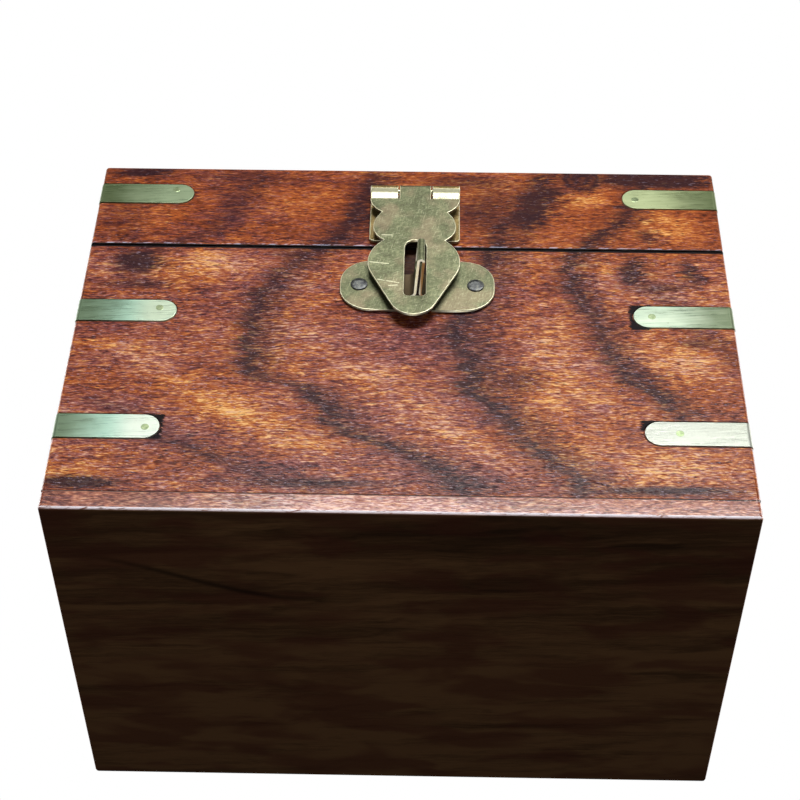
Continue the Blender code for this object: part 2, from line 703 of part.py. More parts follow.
def hinge_leaf(shop, name, x, wood, is_lid):
    """Add one leaf: a plate let into the seam and the knuckles joined to its edge."""
    parent = shop.lid_axis if is_lid else None
    face_z = LID_BOTTOM if is_lid else BODY_HEIGHT
    into_wood = 1 if is_lid else -1
    reach = HINGE_AXIS_Y - BACK_Y + HINGE_LEAF_DEPTH
    plate_z = face_z + into_wood * HINGE_SHEET / 2
    plate_place = moved(x, HINGE_AXIS_Y - reach / 2, plate_z)
    plate = box_mesh(name, Vector((HINGE_WIDTH, reach, HINGE_SHEET)))
    leaf = shop.piece(name, plate, shop.hinge_brass, plate_place, parent)

    third = HINGE_WIDTH / 3
    along_x = Matrix.Rotation(math.pi / 2, 4, "Y")
    clear = 2 * (HINGE_RADIUS + JOINT_GAP)
    for place in (-1, 0, 1):
        centre = moved(x + place * third, HINGE_AXIS_Y, HINGE_AXIS_Z)
        outer = place != 0
        label = f"{name}_knuckle_{place + 2}"
        length = third - JOINT_GAP / 2 if outer else third - JOINT_GAP
        length -= 2 * HINGE_KNUCKLE_SETBACK
        shift = Matrix.Translation((place * JOINT_GAP / 4, 0, 0))
        if outer != is_lid:
            knuckle = cylinder_mesh(label, HINGE_RADIUS, length)
            boolean(leaf, shop.cutter(label, knuckle, centre @ shift @ along_x), "UNION")
        else:
            room = third + JOINT_GAP if not outer else third + OVERCUT
            notch = box_mesh(label, Vector((room, clear, clear)))
            aside = Matrix.Translation((place * (OVERCUT - JOINT_GAP) / 2, 0, 0))
            boolean(leaf, shop.cutter(label, notch, centre @ aside))
    bore = cylinder_mesh(name + "_bore", HINGE_PIN_RADIUS + PIN_PLAY, HINGE_WIDTH + OVERCUT)
    axis_place = moved(x, HINGE_AXIS_Y, HINGE_AXIS_Z, along_x)
    boolean(leaf, shop.cutter(name + "_bore", bore, axis_place))

    depth = HINGE_SHEET + JOINT_GAP + OVERCUT
    width = HINGE_WIDTH + 2 * JOINT_GAP
    length = HINGE_LEAF_DEPTH + JOINT_GAP + OVERCUT
    mortise = box_mesh(name + "_mortise", Vector((width, length, depth)))
    y = BACK_Y + OVERCUT - length / 2
    z = face_z + into_wood * (depth / 2 - OVERCUT)
    boolean(wood, shop.cutter(name + "_mortise", mortise, moved(x, y, z)))

    facing_down = Matrix.Rotation(math.pi, 4, "X") if is_lid else Matrix()
    for side, sign in (("left", -1), ("right", 1)):
        screw_x = x + sign * SCREW_SPACING / 2
        place = moved(screw_x, BACK_Y - HINGE_LEAF_DEPTH / 2, face_z, facing_down)
        screw(shop, f"{name}_screw_{side}", place, (leaf, wood), parent)


def hinges(shop, back, lid_back):
    """Join the lid to the body with two butt hinges."""
    along_x = Matrix.Rotation(math.pi / 2, 4, "Y")
    for side, x in (("left", -HINGE_X), ("right", HINGE_X)):
        hinge_leaf(shop, f"hinge_{side}_body_leaf", x, back, False)
        hinge_leaf(shop, f"hinge_{side}_lid_leaf", x, lid_back, True)
        pin = cylinder_mesh(f"hinge_{side}_pin", HINGE_PIN_RADIUS, HINGE_WIDTH)
        place = moved(x, HINGE_AXIS_Y, HINGE_AXIS_Z, along_x)
        shop.piece(f"hinge_{side}_pin", pin, shop.hinge_brass, place)


def main():
    """Build the box from the base up."""
    clear_scene()
    shop = Workshop()
    base_board(shop)
    body = walls(shop, "", "board", BASE_THICKNESS + JOINT_GAP, BODY_HEIGHT, False)
    lid = walls(shop, "lid_", "rail", LID_BOTTOM, BOX_HEIGHT, True, shop.lid_axis)
    lid_top_board(shop)
    corner_straps(shop, "", body, {"lower_": LOWER_STRAP_RISE, "upper_": UPPER_STRAP_RISE})
    corner_straps(shop, "lid_", lid, {"": LID_BOTTOM + LID_STRAP_RISE}, shop.lid_axis)
    hasp(shop, lid["front"])
    staple(shop, body["front"])
    hinges(shop, body["back"], lid["back"])


main()
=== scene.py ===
"""Looks of the hardwood money box: eased boards, brass fittings, finishes, light and camera.

Sizes are in metres in the part's own frame, except in the finishes, which read a point's place on
the box in millimetres.
"""

import json
import logging
import math
from dataclasses import dataclass, field
from enum import Enum
from typing import Any, Callable, Dict, List, Mapping, Optional, Sequence, Tuple, Union

import bmesh
import bpy
from mathutils import Matrix, Vector


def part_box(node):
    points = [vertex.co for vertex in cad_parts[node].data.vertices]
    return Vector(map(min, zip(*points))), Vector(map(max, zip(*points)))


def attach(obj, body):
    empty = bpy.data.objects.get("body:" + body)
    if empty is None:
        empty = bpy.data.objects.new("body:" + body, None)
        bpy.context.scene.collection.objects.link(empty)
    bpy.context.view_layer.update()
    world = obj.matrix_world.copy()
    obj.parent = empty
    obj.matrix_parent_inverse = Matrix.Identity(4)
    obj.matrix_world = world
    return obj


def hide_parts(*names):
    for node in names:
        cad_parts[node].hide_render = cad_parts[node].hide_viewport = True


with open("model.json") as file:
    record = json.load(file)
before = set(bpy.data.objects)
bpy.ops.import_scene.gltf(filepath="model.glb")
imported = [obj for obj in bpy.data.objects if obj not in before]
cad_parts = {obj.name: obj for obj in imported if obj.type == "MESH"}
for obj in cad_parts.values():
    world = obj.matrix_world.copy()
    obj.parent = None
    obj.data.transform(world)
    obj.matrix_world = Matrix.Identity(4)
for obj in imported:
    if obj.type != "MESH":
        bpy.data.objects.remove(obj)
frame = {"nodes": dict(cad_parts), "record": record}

LOG = logging.getLogger("money_box")

Colour = Tuple[float, float, float, float]
Shade = Tuple[int, int, int]
Stops = Tuple[Tuple[float, Shade], ...]
Point = Tuple[float, float]
Triple = Tuple[float, float, float]
Number = Union[float, int, "Signal"]

MILLIMETRES = 1000.0
BOX_WIDTH = 152.0
BOX_DEPTH = 102.0
BOX_HEIGHT = 112.3
SEAM_HEIGHT = 83.1
WALL = 8.0
INNER_FLOOR = (4.6, 4.9)
INNER_CEILING = (106.5, 106.8)
INNER_EDGE = (0.05, 0.25)


def shade(colour: Shade) -> Colour:
    """Turn a screen colour into the linear colour that shaders use.

    Args:
        colour: red, green and blue from 0 to 255.

    Returns:
        Linear red, green, blue and an alpha of one.
    """
    parts = [part / 255 for part in colour]
    linear = [p / 12.92 if p <= 0.04045 else ((p + 0.055) / 1.055) ** 2.4 for p in parts]
    return (linear[0], linear[1], linear[2], 1.0)


# Shader maths


class Signal:
    """A number that varies over a surface. Python's operators on it add Math nodes."""

    def __init__(self, sheet: "NodeSheet", socket: bpy.types.NodeSocket) -> None:
        """Wrap an output socket."""
        self.sheet = sheet
        self.socket = socket

    def _math(self, operation: str, first: Number, second: Number = 0.0) -> "Signal":
        """Add a Math node on these values or links."""
        node = self.sheet.node("ShaderNodeMath", {"operation": operation}, {0: first, 1: second})
        return Signal(self.sheet, node.outputs[0])

    def __add__(self, other: Number) -> "Signal":
        """Sum, from either side."""
        return self._math("ADD", self, other)

    __radd__ = __add__

    def __sub__(self, other: Number) -> "Signal":
        """Difference."""
        return self._math("SUBTRACT", self, other)

    def __rsub__(self, other: Number) -> "Signal":
        """Difference, reflected."""
        return self._math("SUBTRACT", other, self)

    def __mul__(self, other: Number) -> "Signal":
        """Product, from either side."""
        return self._math("MULTIPLY", self, other)

    __rmul__ = __mul__

    def __truediv__(self, other: Number) -> "Signal":
        """Quotient."""
        return self._math("DIVIDE", self, other)

    def __rtruediv__(self, other: Number) -> "Signal":
        """Quotient, reflected."""
        return self._math("DIVIDE", other, self)

    def __abs__(self) -> "Signal":
        """Size without sign."""
        return self._math("ABSOLUTE", self)

    def least(self, other: Number) -> "Signal":
        """The smaller of two."""
        return self._math("MINIMUM", self, other)

    def most(self, other: Number) -> "Signal":
        """The larger of two."""
        return self._math("MAXIMUM", self, other)

    def root(self) -> "Signal":
        """Square root."""
        return self._math("SQRT", self)

    def fraction(self) -> "Signal":
        """What is left over a whole number."""
        return self._math("FRACT", self)

    def swing(self, reach: float) -> "Signal":
        """Centre a noise on 0 and scale its swing."""
        return (self - 0.5) * reach

    def rise(self, low: float, high: float, top: float = 1.0) -> "Signal":
        """Go smoothly from 0 at low to the top at high.

        Args:
            low: where the result is still 0.
            high: where the result has reached the top.
            top: the highest result.

        Returns:
            The eased value.
        """
        settings = {"interpolation_type": "SMOOTHSTEP"}
        inputs = {"Value": self, "From Min": low, "From Max": high, "To Max": top}
        node = self.sheet.node("ShaderNodeMapRange", settings, inputs)
        return Signal(self.sheet, node.outputs[0])

    def fall(self, low: float, high: float) -> "Signal":
        """Go smoothly from 1 at low to 0 at high."""
        return 1.0 - self.rise(low, high)

    def within(self, low: float, high: float, soft: float) -> "Signal":
        """Be 1 between low and high, with edges this soft."""
        return self.rise(low - soft, low + soft) * self.fall(high - soft, high + soft)


class NodeSheet:
    """One node tree, with one way to add a node and a few that are used often."""

    def __init__(self, owner: Union[bpy.types.Material, bpy.types.World]) -> None:
        """Start with an empty tree.

        Args:
            owner: the material or the world whose tree it is.
        """
        owner.use_nodes = True
        self.owner = owner
        self.tree = owner.node_tree
        self.tree.nodes.clear()

    @classmethod
    def for_material(cls, name: str) -> "NodeSheet":
        """Start a new material's tree."""
        return cls(bpy.data.materials.new(name))

    def node(
        self,
        kind: str,
        settings: Optional[Mapping[str, Any]] = None,
        inputs: Optional[Mapping[Union[int, str], Any]] = None,
    ) -> bpy.types.Node:
        """Add any node.

        Args:
            kind: the node's type.
            settings: its properties; "stops" fills a ramp and "curve" a curve.
            inputs: values or links for its sockets, by name or number.

        Returns:
            The new node.
        """
        node = self.tree.nodes.new(kind)
        for name, value in (settings or {}).items():
            if name == "stops":
                self._fill_ramp(node.color_ramp, value)
            elif name == "curve":
                self._fill_curve(node.mapping, value)
            else:
                setattr(node, name, value)
        for key, value in (inputs or {}).items():
            socket = node.inputs[key] if isinstance(key, int) else self._socket(node, key)
            source = value.socket if isinstance(value, Signal) else value
            if isinstance(source, bpy.types.NodeSocket):
                self.tree.links.new(source, socket)
            else:
                socket.default_value = source
        return node

    @staticmethod
    def _socket(node: bpy.types.Node, name: str) -> bpy.types.NodeSocket:
        """Find the input of this name that the node's settings leave in use."""
        return next(socket for socket in node.inputs if socket.enabled and socket.name == name)

    @staticmethod
    def _fill_ramp(ramp: bpy.types.ColorRamp, stops: Stops) -> None:
        """Set a ramp's stops.

        Args:
            ramp: the ramp.
            stops: a place from 0 to 1 and a screen colour for each.
        """
        while len(ramp.elements) < len(stops):
            ramp.elements.new(1.0)
        for element, (place, colour) in zip(ramp.elements, stops):
            element.position = place
            element.color = shade(colour)

    @staticmethod
    def _fill_curve(mapping: bpy.types.CurveMapping, points: Sequence[Point]) -> None:
        """Run a curve through some points.

        Args:
            mapping: the curve's mapping.
            points: the points, which lie between 0 and 1.
        """
        curve = mapping.curves[0]
        while len(curve.points) < len(points):
            curve.points.new(1.0, 1.0)
        for point, place in zip(curve.points, points):
            point.location = place
        mapping.update()

    def noise(
        self,
        vector: bpy.types.NodeSocket,
        detail: float = 3.0,
        roughness: float = 0.6,
        distortion: float = 0.0,
    ) -> Signal:
        """Add a noise texture at a scale of one.

        Args:
            vector: the scaled place to read it at.
            detail: number of finer layers.
            roughness: how strong the finer layers are.
            distortion: how far it is swirled.

        Returns:
            The noise, about one half.
        """
        inputs = {
            "Vector": vector,
            "Scale": 1.0,
            "Detail": detail,
            "Roughness": roughness,
            "Distortion": distortion,
        }
        return Signal(self, self.node("ShaderNodeTexNoise", None, inputs).outputs[0])

    def mix(self, factor: Number, first: Any, second: Any) -> bpy.types.NodeSocket:
        """Mix two colours.

        Args:
            factor: share of the second.
            first: a linear colour or a colour socket.
            second: the same.

        Returns:
            The mixed colour's socket.
        """
        inputs = {"Factor": factor, "A": first, "B": second}
        node = self.node("ShaderNodeMix", {"data_type": "RGBA"}, inputs)
        return next(socket for socket in node.outputs if socket.enabled)

    def ramp(self, factor: Signal, stops: Stops) -> bpy.types.NodeSocket:
        """Turn a number into a colour along these stops."""
        return self.node("ShaderNodeValToRGB", {"stops": stops}, {"Fac": factor}).outputs[0]

    def bump(self, height: Signal, strength: float, distance: float) -> bpy.types.NodeSocket:
        """Bend the normal by a relief that is this deep, in metres."""
        inputs = {"Strength": strength, "Distance": distance, "Height": height}
        return self.node("ShaderNodeBump", None, inputs).outputs[0]

    def finish(self, **sockets: Any) -> bpy.types.Material:
        """Close the tree with a Principled shader.

        Args:
            sockets: its inputs, with underscores for the spaces in their names.

        Returns:
            The finished material.
        """
        inputs = {name.replace("_", " "): value for name, value in sockets.items()}
        shader = self.node("ShaderNodeBsdfPrincipled", None, inputs)
        self.node("ShaderNodeOutputMaterial", None, {"Surface": shader.outputs[0]})
        return self.owner


class Grain(Enum):
    """The axis that fibres or brush marks run along."""

    ALONG_X = 0
    ALONG_Y = 1


class Place:
    """Where a shading point lies on the box, in millimetres."""

    def __init__(self, sheet: NodeSheet) -> None:
        """Read the object's own coordinates.

        Args:
            sheet: the material they are for.
        """
        self.sheet = sheet
        coordinates = sheet.node("ShaderNodeTexCoord").outputs["Object"]
        self.vector = self.combined("MULTIPLY", coordinates, (MILLIMETRES,) * 3)[0]
        parts = sheet.node("ShaderNodeSeparateXYZ", None, {0: self.vector}).outputs
        self.x, self.y, self.z = (Signal(sheet, part) for part in parts)

    def combined(self, operation: str, *inputs: Any) -> Sequence[bpy.types.NodeSocket]:
        """Add a Vector Math node and give its vector and value."""
        settings = {"operation": operation}
        return self.sheet.node("ShaderNodeVectorMath", settings, dict(enumerate(inputs))).outputs

    def stretched(
        self, scale: Triple, shift: Triple = (0.0, 0.0, 0.0), turn: Triple = (0.0, 0.0, 0.0)
    ) -> bpy.types.NodeSocket:
        """Scale the place for a texture.

        Args:
            scale: repeats per millimetre along each axis.
            shift: where the pattern starts.
            turn: degrees that the pattern is turned by.

        Returns:
            The texture's vector.
        """
        spun = self.vector
        if any(turn):
            inputs = {"Vector": spun, "Rotation": tuple(math.radians(angle) for angle in turn)}
            spun = self.sheet.node("ShaderNodeMapping", None, inputs).outputs[0]
        inputs = {"Vector": spun, "Scale": scale, "Location": shift}
        return self.sheet.node("ShaderNodeMapping", None, inputs).outputs[0]

    def along(
        self, grain: Grain, length: float, width: float, shift: float = 0.0, lean: float = 0.0
    ) -> bpy.types.NodeSocket:
        """Stretch a texture along the grain.

        Args:
            grain: the axis of the fibres.
            length: the length of a mark in millimetres.
            width: its width in millimetres.
            shift: moves the pattern to another part of the texture.
            lean: degrees that the marks lie off the axis.

        Returns:
            The texture's vector.
        """
        scale = [1 / width] * 3
        scale[grain.value] = 1 / length
        turn = [lean] * 3
        turn[grain.value] = 0.0
        return self.stretched(tuple(scale), (shift,) * 3, tuple(turn))

    def waved(self, size: float, reach: float) -> None:
        """Wave the place a little, so that the fibres drawn on it run in and out of line.

        Args:
            size: the length of a wave in millimetres.
            reach: how far a fibre strays in millimetres.
        """
        inputs = {"Vector": self.stretched((1 / size,) * 3), "Scale": 1.0, "Detail": 2.0}
        colour = self.sheet.node("ShaderNodeTexNoise", None, inputs).outputs["Color"]
        centred = self.combined("SUBTRACT", colour, (0.5,) * 3)[0]
        self.vector = self.combined("MULTIPLY_ADD", centred, (2 * reach,) * 3, self.vector)[0]

    def edge_distance(self) -> Signal:
        """Measure how far the box's nearest outer edge or seam arris is.

        Returns:
            The distance in millimetres.
        """
        from_side = BOX_WIDTH / 2 - abs(self.x)
        from_front = BOX_DEPTH / 2 - abs(self.y)
        from_end = self.z.least(BOX_HEIGHT - self.z).least(abs(self.z - SEAM_HEIGHT))
        upright = from_side + from_front
        level = from_end + from_side.least(from_front)
        return upright.least(level)

    def inside(self) -> Signal:
        """Be 1 on the faces within the box."""
        across = abs(self.x).fall(*(BOX_WIDTH / 2 - WALL + edge for edge in INNER_EDGE))
        deep = abs(self.y).fall(*(BOX_DEPTH / 2 - WALL + edge for edge in INNER_EDGE))
        high = self.z.rise(*INNER_FLOOR) * self.z.fall(*INNER_CEILING)
        return across * deep * high

    def near_line(self, start: Point, end: Point, width: float) -> Signal:
        """Be 1 on a straight mark that is drawn on the front.

        Args:
            start: x and z of one end.
            end: x and z of the other.
            width: the mark's width.

        Returns:
            The mark, with soft edges.
        """
        run = (end[0] - start[0], end[1] - start[1])
        length = run[0] ** 2 + run[1] ** 2
        x = self.x - start[0]
        z = self.z - start[1]
        share = ((x * run[0] + z * run[1]) / length).most(0.0).least(1.0)
        off_x = x - share * run[0]
        off_z = z - share * run[1]
        return (off_x * off_x + off_z * off_z).root().fall(width / 4, width / 2)

    def carried(self, stray: Number) -> bpy.types.NodeSocket:
        """Give x and z on the front, with x carried along by the fibres, in millimetres."""
        inputs = {0: self.x + stray, 2: self.z}
        return self.sheet.node("ShaderNodeCombineXYZ", None, inputs).outputs[0]

    def oval(
        self,
        place: bpy.types.NodeSocket,
        middle: Point,
        wide: float,
        high: float,
        lean: float = 0.0,
    ) -> Signal:
        """Distance from the middle of an oval on the front, 1 on its edge.

        Args:
            place: where the point is carried to.
            middle: x and z of its middle.
            wide: half its width.
            high: half its height.
            lean: degrees that its width rises to the right.

        Returns:
            The distance.
        """
        centre = Vector((middle[0], 0.0, middle[1]))
        if lean:
            sine, cosine = math.sin(math.radians(lean)), math.cos(math.radians(lean))
            shifted = self.combined("SUBTRACT", place, centre)[0]
            along = self.combined("DOT_PRODUCT", shifted, Vector((cosine, 0.0, sine)) / wide)[1]
            across = self.combined("DOT_PRODUCT", shifted, Vector((-sine, 0.0, cosine)) / high)[1]
            scaled = self.sheet.node("ShaderNodeCombineXYZ", None, {0: along, 2: across}).outputs[0]
        else:
            scale = Vector((1 / wide, 0.0, 1 / high))
            scaled = self.combined("MULTIPLY_ADD", place, scale, -centre * scale)[0]
        return Signal(self.sheet, self.combined("LENGTH", scaled)[1])


# Figure of the wood


@dataclass(frozen=True)
class Marks:
    """A layer of marks along the grain, in millimetres and degrees."""

    length: float
    width: float
    shift: float
    lean: float = 0.0
    detail: float = 2.0
    roughness: float = 0.55
    swirl: float = 0.0

    def read(self, at: Place, grain: Grain, shift: float) -> Signal:
        """Read the layer, about one half, on a board with its own shift."""
        place = at.along(grain, self.length, self.width, shift + self.shift, self.lean)
        return at.sheet.noise(place, self.detail, self.roughness, self.swirl)


@dataclass(frozen=True)
class GrainLine:
    """A dark growth line on the front, with a dark fringe to one side of its core.

    The path runs from the bottom up, in x and z.
    """

    path: Tuple[Point, ...]
    core: float
    fringe: float
    strength: float
    core_share: float = 0.35
    fringe_share: float = 0.5
    soft_end: float = 2.5

    def mask(self, at: Place, stray: Signal) -> Signal:
        """Draw the line.

        Args:
            at: the place on the box.
            stray: how far the fibres carry the dark off the line, in millimetres.

        Returns:
            The line's darkness from 0 to 1.
        """
        half = BOX_WIDTH / 2
        curve = [(z / BOX_HEIGHT, (x + half) / BOX_WIDTH) for x, z in self.path]
        node = at.sheet.node("ShaderNodeFloatCurve", {"curve": curve}, {"Value": at.z / BOX_HEIGHT})
        off = at.x + stray - (Signal(at.sheet, node.outputs[0]) * BOX_WIDTH - half)
        core = abs(off).fall(0.0, self.core * 1.5)
        fringe = (off / self.fringe).within(-0.4, 0.9, 0.5)
        span = at.z.within(self.path[0][1], self.path[-1][1], self.soft_end)
        return (core * self.core_share + fringe * self.fringe_share) * span * self.strength


@dataclass(frozen=True)
class Spot:
    """A soft oval on the front."""

    middle: Point
    wide: float
    high: float
    strength: float
    lean: float = 0.0

    def mask(self, at: Place, place: bpy.types.NodeSocket, share: float = 1.0) -> Signal:
        """Draw the spot, up to a share of its strength, where the fibres carry it."""
        away = at.oval(place, self.middle, self.wide, self.high, self.lean)
        return away.rise(1.1, 0.2, self.strength * share)


@dataclass(frozen=True)
class Knot:
    """A small knot with faint rings."""

    middle: Point
    wide: float
    high: float
    stray_share: float = 0.25
    rings: float = 2.2
    first_ring: float = 0.75

    def mask(self, at: Place, stray: Signal) -> Signal:
        """Draw the dark rings round the eye."""
        place = at.carried(stray * self.stray_share)
        away = at.oval(place, self.middle, self.wide, self.high)
        ring = (away * self.rings + self.first_ring).fraction()
        return (ring.within(0.25, 0.75, 0.3) * 0.28 + 0.68) * away.fall(0.8, 1.35)


class Figure(Enum):
    """How a board's dark figure runs."""

    FRONT = "drawn as on the front"
    RINGS = "growth rings cut along the board"
    FAINT = "faint straight rings"


FLECKS = Marks(2.6, 0.38, 0.0, 5.0)
DASHES = Marks(1.5, 0.27, 31.0, -6.0)
HAIRS = Marks(10.0, 0.5, 53.0, 1.5)
TINTS = Marks(4.0, 0.6, 71.0, -2.0)
STREAKS = Marks(4.8, 1.7, 23.0, 3.0)
PORES = Marks(1.9, 0.34, 97.0, 3.0)
GLINTS = Marks(1.3, 0.26, 113.0, -3.0)
CLOUDS = Marks(46.0, 17.0, 7.0, roughness=0.5, swirl=0.6)
PATCHES = Marks(24.0, 8.0, 67.0, swirl=0.4)
COMB = Marks(22.0, 1.1, 11.0, roughness=0.6)
BREAKS = Marks(16.0, 7.0, 127.0, roughness=0.5)
GROWTH = Marks(90.0, 34.0, 19.0, roughness=0.45, swirl=0.5)
CALM = Marks(60.0, 6.0, 0.0, 4.0, detail=3.0, swirl=0.7)

FRONT_LINES = (
    GrainLine(
        (
            (14.8, 5.0), (10.1, 11.0), (2.6, 16.3), (-5.9, 20.5), (-13.5, 24.4), (-17.7, 31.6),
            (-22.4, 36.1), (-33.4, 39.6), (-34.9, 51.3), (-35.1, 59.2), (-32.9, 67.4),
            (-28.7, 75.1), (-24.0, 80.5), (-18.2, 84.9), (-12.7, 93.8), (-8.6, 112.0),
        ),
        2.6,
        8.0,
        1.0,
    ),
    GrainLine(
        (
            (37.8, 5.0), (36.9, 11.5), (33.0, 14.0), (29.1, 18.8), (24.9, 23.7), (21.9, 28.7),
            (15.4, 35.3), (14.6, 45.2), (11.9, 53.5), (15.1, 65.2), (21.8, 85.7), (23.1, 90.8),
            (30.3, 99.1), (34.1, 112.0),
        ),
        2.2,
        9.0,
        1.0,
    ),
    GrainLine(
        (
            (71.2, 22.2), (60.7, 29.5), (53.2, 37.5), (50.3, 40.6), (47.3, 47.1), (45.2, 52.9),
            (43.0, 59.1), (40.5, 65.7), (38.2, 75.7), (39.1, 80.6), (44.4, 86.1), (51.3, 93.2),
            (57.7, 112.0),
        ),
        2.0,
        6.5,
        1.0,
    ),
    GrainLine(
        ((-66.6, 70.0), (-61.4, 81.2), (-48.8, 87.6), (-43.6, 95.1), (-37.4, 112.0)), 2.6, 6.0, 0.55
    ),
    GrainLine(
        (
            (-14.0, 5.0), (-27.7, 9.4), (-35.6, 12.7), (-41.0, 15.4), (-46.7, 18.2), (-52.2, 20.7),
            (-66.9, 31.5),
        ),
        3.0,
        9.0,
        0.6,
    ),
    GrainLine(
        ((76.7, 43.6), (70.8, 51.7), (65.7, 57.9), (57.8, 69.1), (54.5, 75.0), (52.3, 82.0)),
        2.6,
        6.0,
        0.5,
    ),
)

FRONT_SPOTS = (
    Spot((64.5, 109.7), 17.0, 4.6, 1.3),
    Spot((-66.0, 110.4), 11.0, 2.8, 1.1),
    Spot((-69.0, 7.6), 11.0, 2.6, 1.1),
    Spot((56.0, 7.4), 24.0, 1.9, 0.85),
    Spot((-22.0, 8.2), 26.0, 2.2, 0.65),
    Spot((-64.0, 77.0), 9.0, 7.0, 1.0),
    Spot((-63.0, 69.5), 12.0, 2.8, 0.7),
    Spot((69.0, 52.0), 9.0, 2.8, 0.6),
    Spot((53.5, 75.5), 4.5, 8.0, 1.0),
    Spot((67.5, 75.0), 4.0, 7.0, 0.75),
    Spot((60.0, 70.0), 10.0, 2.4, 0.6),
    Spot((59.0, 88.0), 4.0, 4.0, 0.7),
    Spot((15.0, 107.5), 16.0, 4.0, 0.6),
    Spot((26.5, 101.0), 5.0, 3.5, 0.55),
    Spot((-35.0, 55.0), 5.0, 9.0, 0.6),
    Spot((-26.5, 80.5), 7.5, 3.2, 0.6),
    Spot((17.0, 58.0), 7.0, 6.0, 0.45),
    Spot((26.0, 39.0), 8.0, 6.0, 0.5),
    Spot((-40.0, 108.5), 20.0, 3.0, 0.4),
    Spot((30.0, 97.0), 7.0, 12.0, 1.1),
    Spot((20.0, 97.0), 12.0, 14.0, 0.6),
    Spot((46.0, 110.0), 16.0, 4.5, 0.55),
    Spot((-68.0, 92.0), 8.0, 12.0, 0.35),
    Spot((33.0, 104.0), 8.0, 7.0, 0.9),
    Spot((-43.0, 97.0), 6.0, 12.0, 0.45),
    Spot((-14.0, 89.0), 8.0, 5.0, 0.5),
    Spot((53.5, 109.6), 10.0, 4.8, 0.9),
)
PALE_SPOTS = (
    Spot((-50.0, 76.0), 13.0, 8.0, 0.5),
    Spot((33.0, 40.0), 6.0, 22.0, 0.5, -8.0),
    Spot((66.0, 90.0), 9.0, 6.0, 0.9),
    Spot((60.0, 17.0), 18.0, 8.0, 0.4),
    Spot((15.0, 22.0), 20.0, 5.0, 0.6, -45.0),
    Spot((-24.0, 98.0), 17.0, 8.0, 0.6),
    Spot((-62.0, 93.0), 12.0, 6.0, 0.3),
    Spot((-51.0, 108.0), 11.0, 3.5, 0.6),
    Spot((44.0, 101.5), 8.0, 4.0, 1.1),
    Spot((63.0, 93.0), 15.0, 6.0, 0.9),
    Spot((-44.0, 77.0), 14.0, 6.0, 0.5),
    Spot((48.0, 76.0), 5.0, 7.0, 0.5),
    Spot((-60.0, 46.0), 16.0, 7.0, 1.0, -12.0),
    Spot((-44.0, 34.0), 24.0, 6.0, 0.8, -30.0),
    Spot((-26.0, 22.0), 24.0, 5.5, 0.8, -24.0),
    Spot((-6.0, 41.0), 13.0, 6.0, 0.6, -25.0),
    Spot((33.0, 54.0), 10.0, 15.0, 0.7, -15.0),
    Spot((6.0, 26.0), 22.0, 6.0, 0.9, -38.0),
    Spot((41.0, 40.0), 9.0, 16.0, 0.9, -25.0),
    Spot((63.0, 46.0), 15.0, 8.0, 1.3, -20.0),
    Spot((41.0, 22.0), 8.0, 14.0, 0.7, -30.0),
    Spot((57.0, 12.0), 18.0, 5.0, 0.8),
    Spot((-70.0, 10.0), 10.0, 4.0, 0.7),
    Spot((-70.5, 76.0), 3.0, 2.0, 1.3),
    Spot((-70.5, 73.0), 3.0, 1.4, 1.0),
    Spot((-8.0, 10.0), 16.0, 3.0, 0.6),
    Spot((-25.0, 60.0), 9.0, 9.0, 0.4),
)
FRONT_KNOT = Knot((43.3, 109.5), 5.0, 4.9)
PURPLE_ZONES = (
    Spot((2.0, 48.0), 30.0, 12.0, 1.3),
    Spot((50.0, 68.0), 22.0, 10.0, 0.9),
    Spot((-60.0, 26.0), 22.0, 9.0, 1.1, -20.0),
    Spot((-5.0, 12.0), 40.0, 8.0, 1.1),
    Spot((-43.0, 98.0), 8.0, 12.0, 0.8),
)
ORANGE_ZONES = (
    Spot((29.0, 30.0), 9.0, 16.0, 1.0),
    Spot((64.0, 38.0), 13.0, 9.0, 1.0),
    Spot((-52.0, 72.0), 13.0, 7.0, 0.9),
    Spot((60.0, 95.0), 16.0, 7.0, 0.9),
    Spot((-22.0, 99.0), 16.0, 9.0, 0.8),
    Spot((-38.0, 29.0), 26.0, 8.0, 0.9, -28.0),
    Spot((-70.0, 10.0), 12.0, 6.0, 1.0),
    Spot((35.0, 17.0), 9.0, 8.0, 1.0),
)
FILLED_POCKETS = (
    ((51.9, 56.6), (56.0, 64.1)),
    ((-56.5, -52.2), (20.2, 27.5)),
    ((52.2, 56.2), (24.6, 27.6)),
)

# Where the wood's look changes, in millimetres: low, high and how soft the ends are
LID_SHADE: Point = (SEAM_HEIGHT - 6.0, SEAM_HEIGHT + 8.0)
SEAM_SHADOW_BAND: Triple = (-0.8, 0.55, 0.12)
SEAM_LIP: Triple = (SEAM_HEIGHT + 0.55, SEAM_HEIGHT + 0.85, 0.1)
FRONT_RIGHT: Point = (0.0, 40.0)
FLAP_SHADOW_ACROSS: Triple = (-3.5, 8.0, 1.5)
FLAP_SHADOW_UP: Triple = (65.0, 90.0, 3.0)
BASE_LEFT: Point = (-52.0, -30.0)
BASE_RIGHT: Point = (15.0, 50.0)
BASE_PALE: Triple = (-40.0, 24.0, 14.0)
BASE_DEPTH: Point = (-50.0, 10.0)
BASE_UNDER: Point = (0.15, 0.4)
SHAKE_BEND: Point = (-76.0, -20.0)
SHAKE_SPAN: Triple = (-62.0, -18.0, 16.0)
SHAKE_WIDTH: Triple = (-0.6, 0.9, 0.7)
ARRIS_GLINT_UP: Triple = (0.2, 0.8, 0.1)
ARRIS_GLINT_FRONT: Point = (-50.95, -50.6)
OUTER_FACE: Point = (-0.8, -0.5)
WORN_EDGE: Point = (0.1, 0.8)

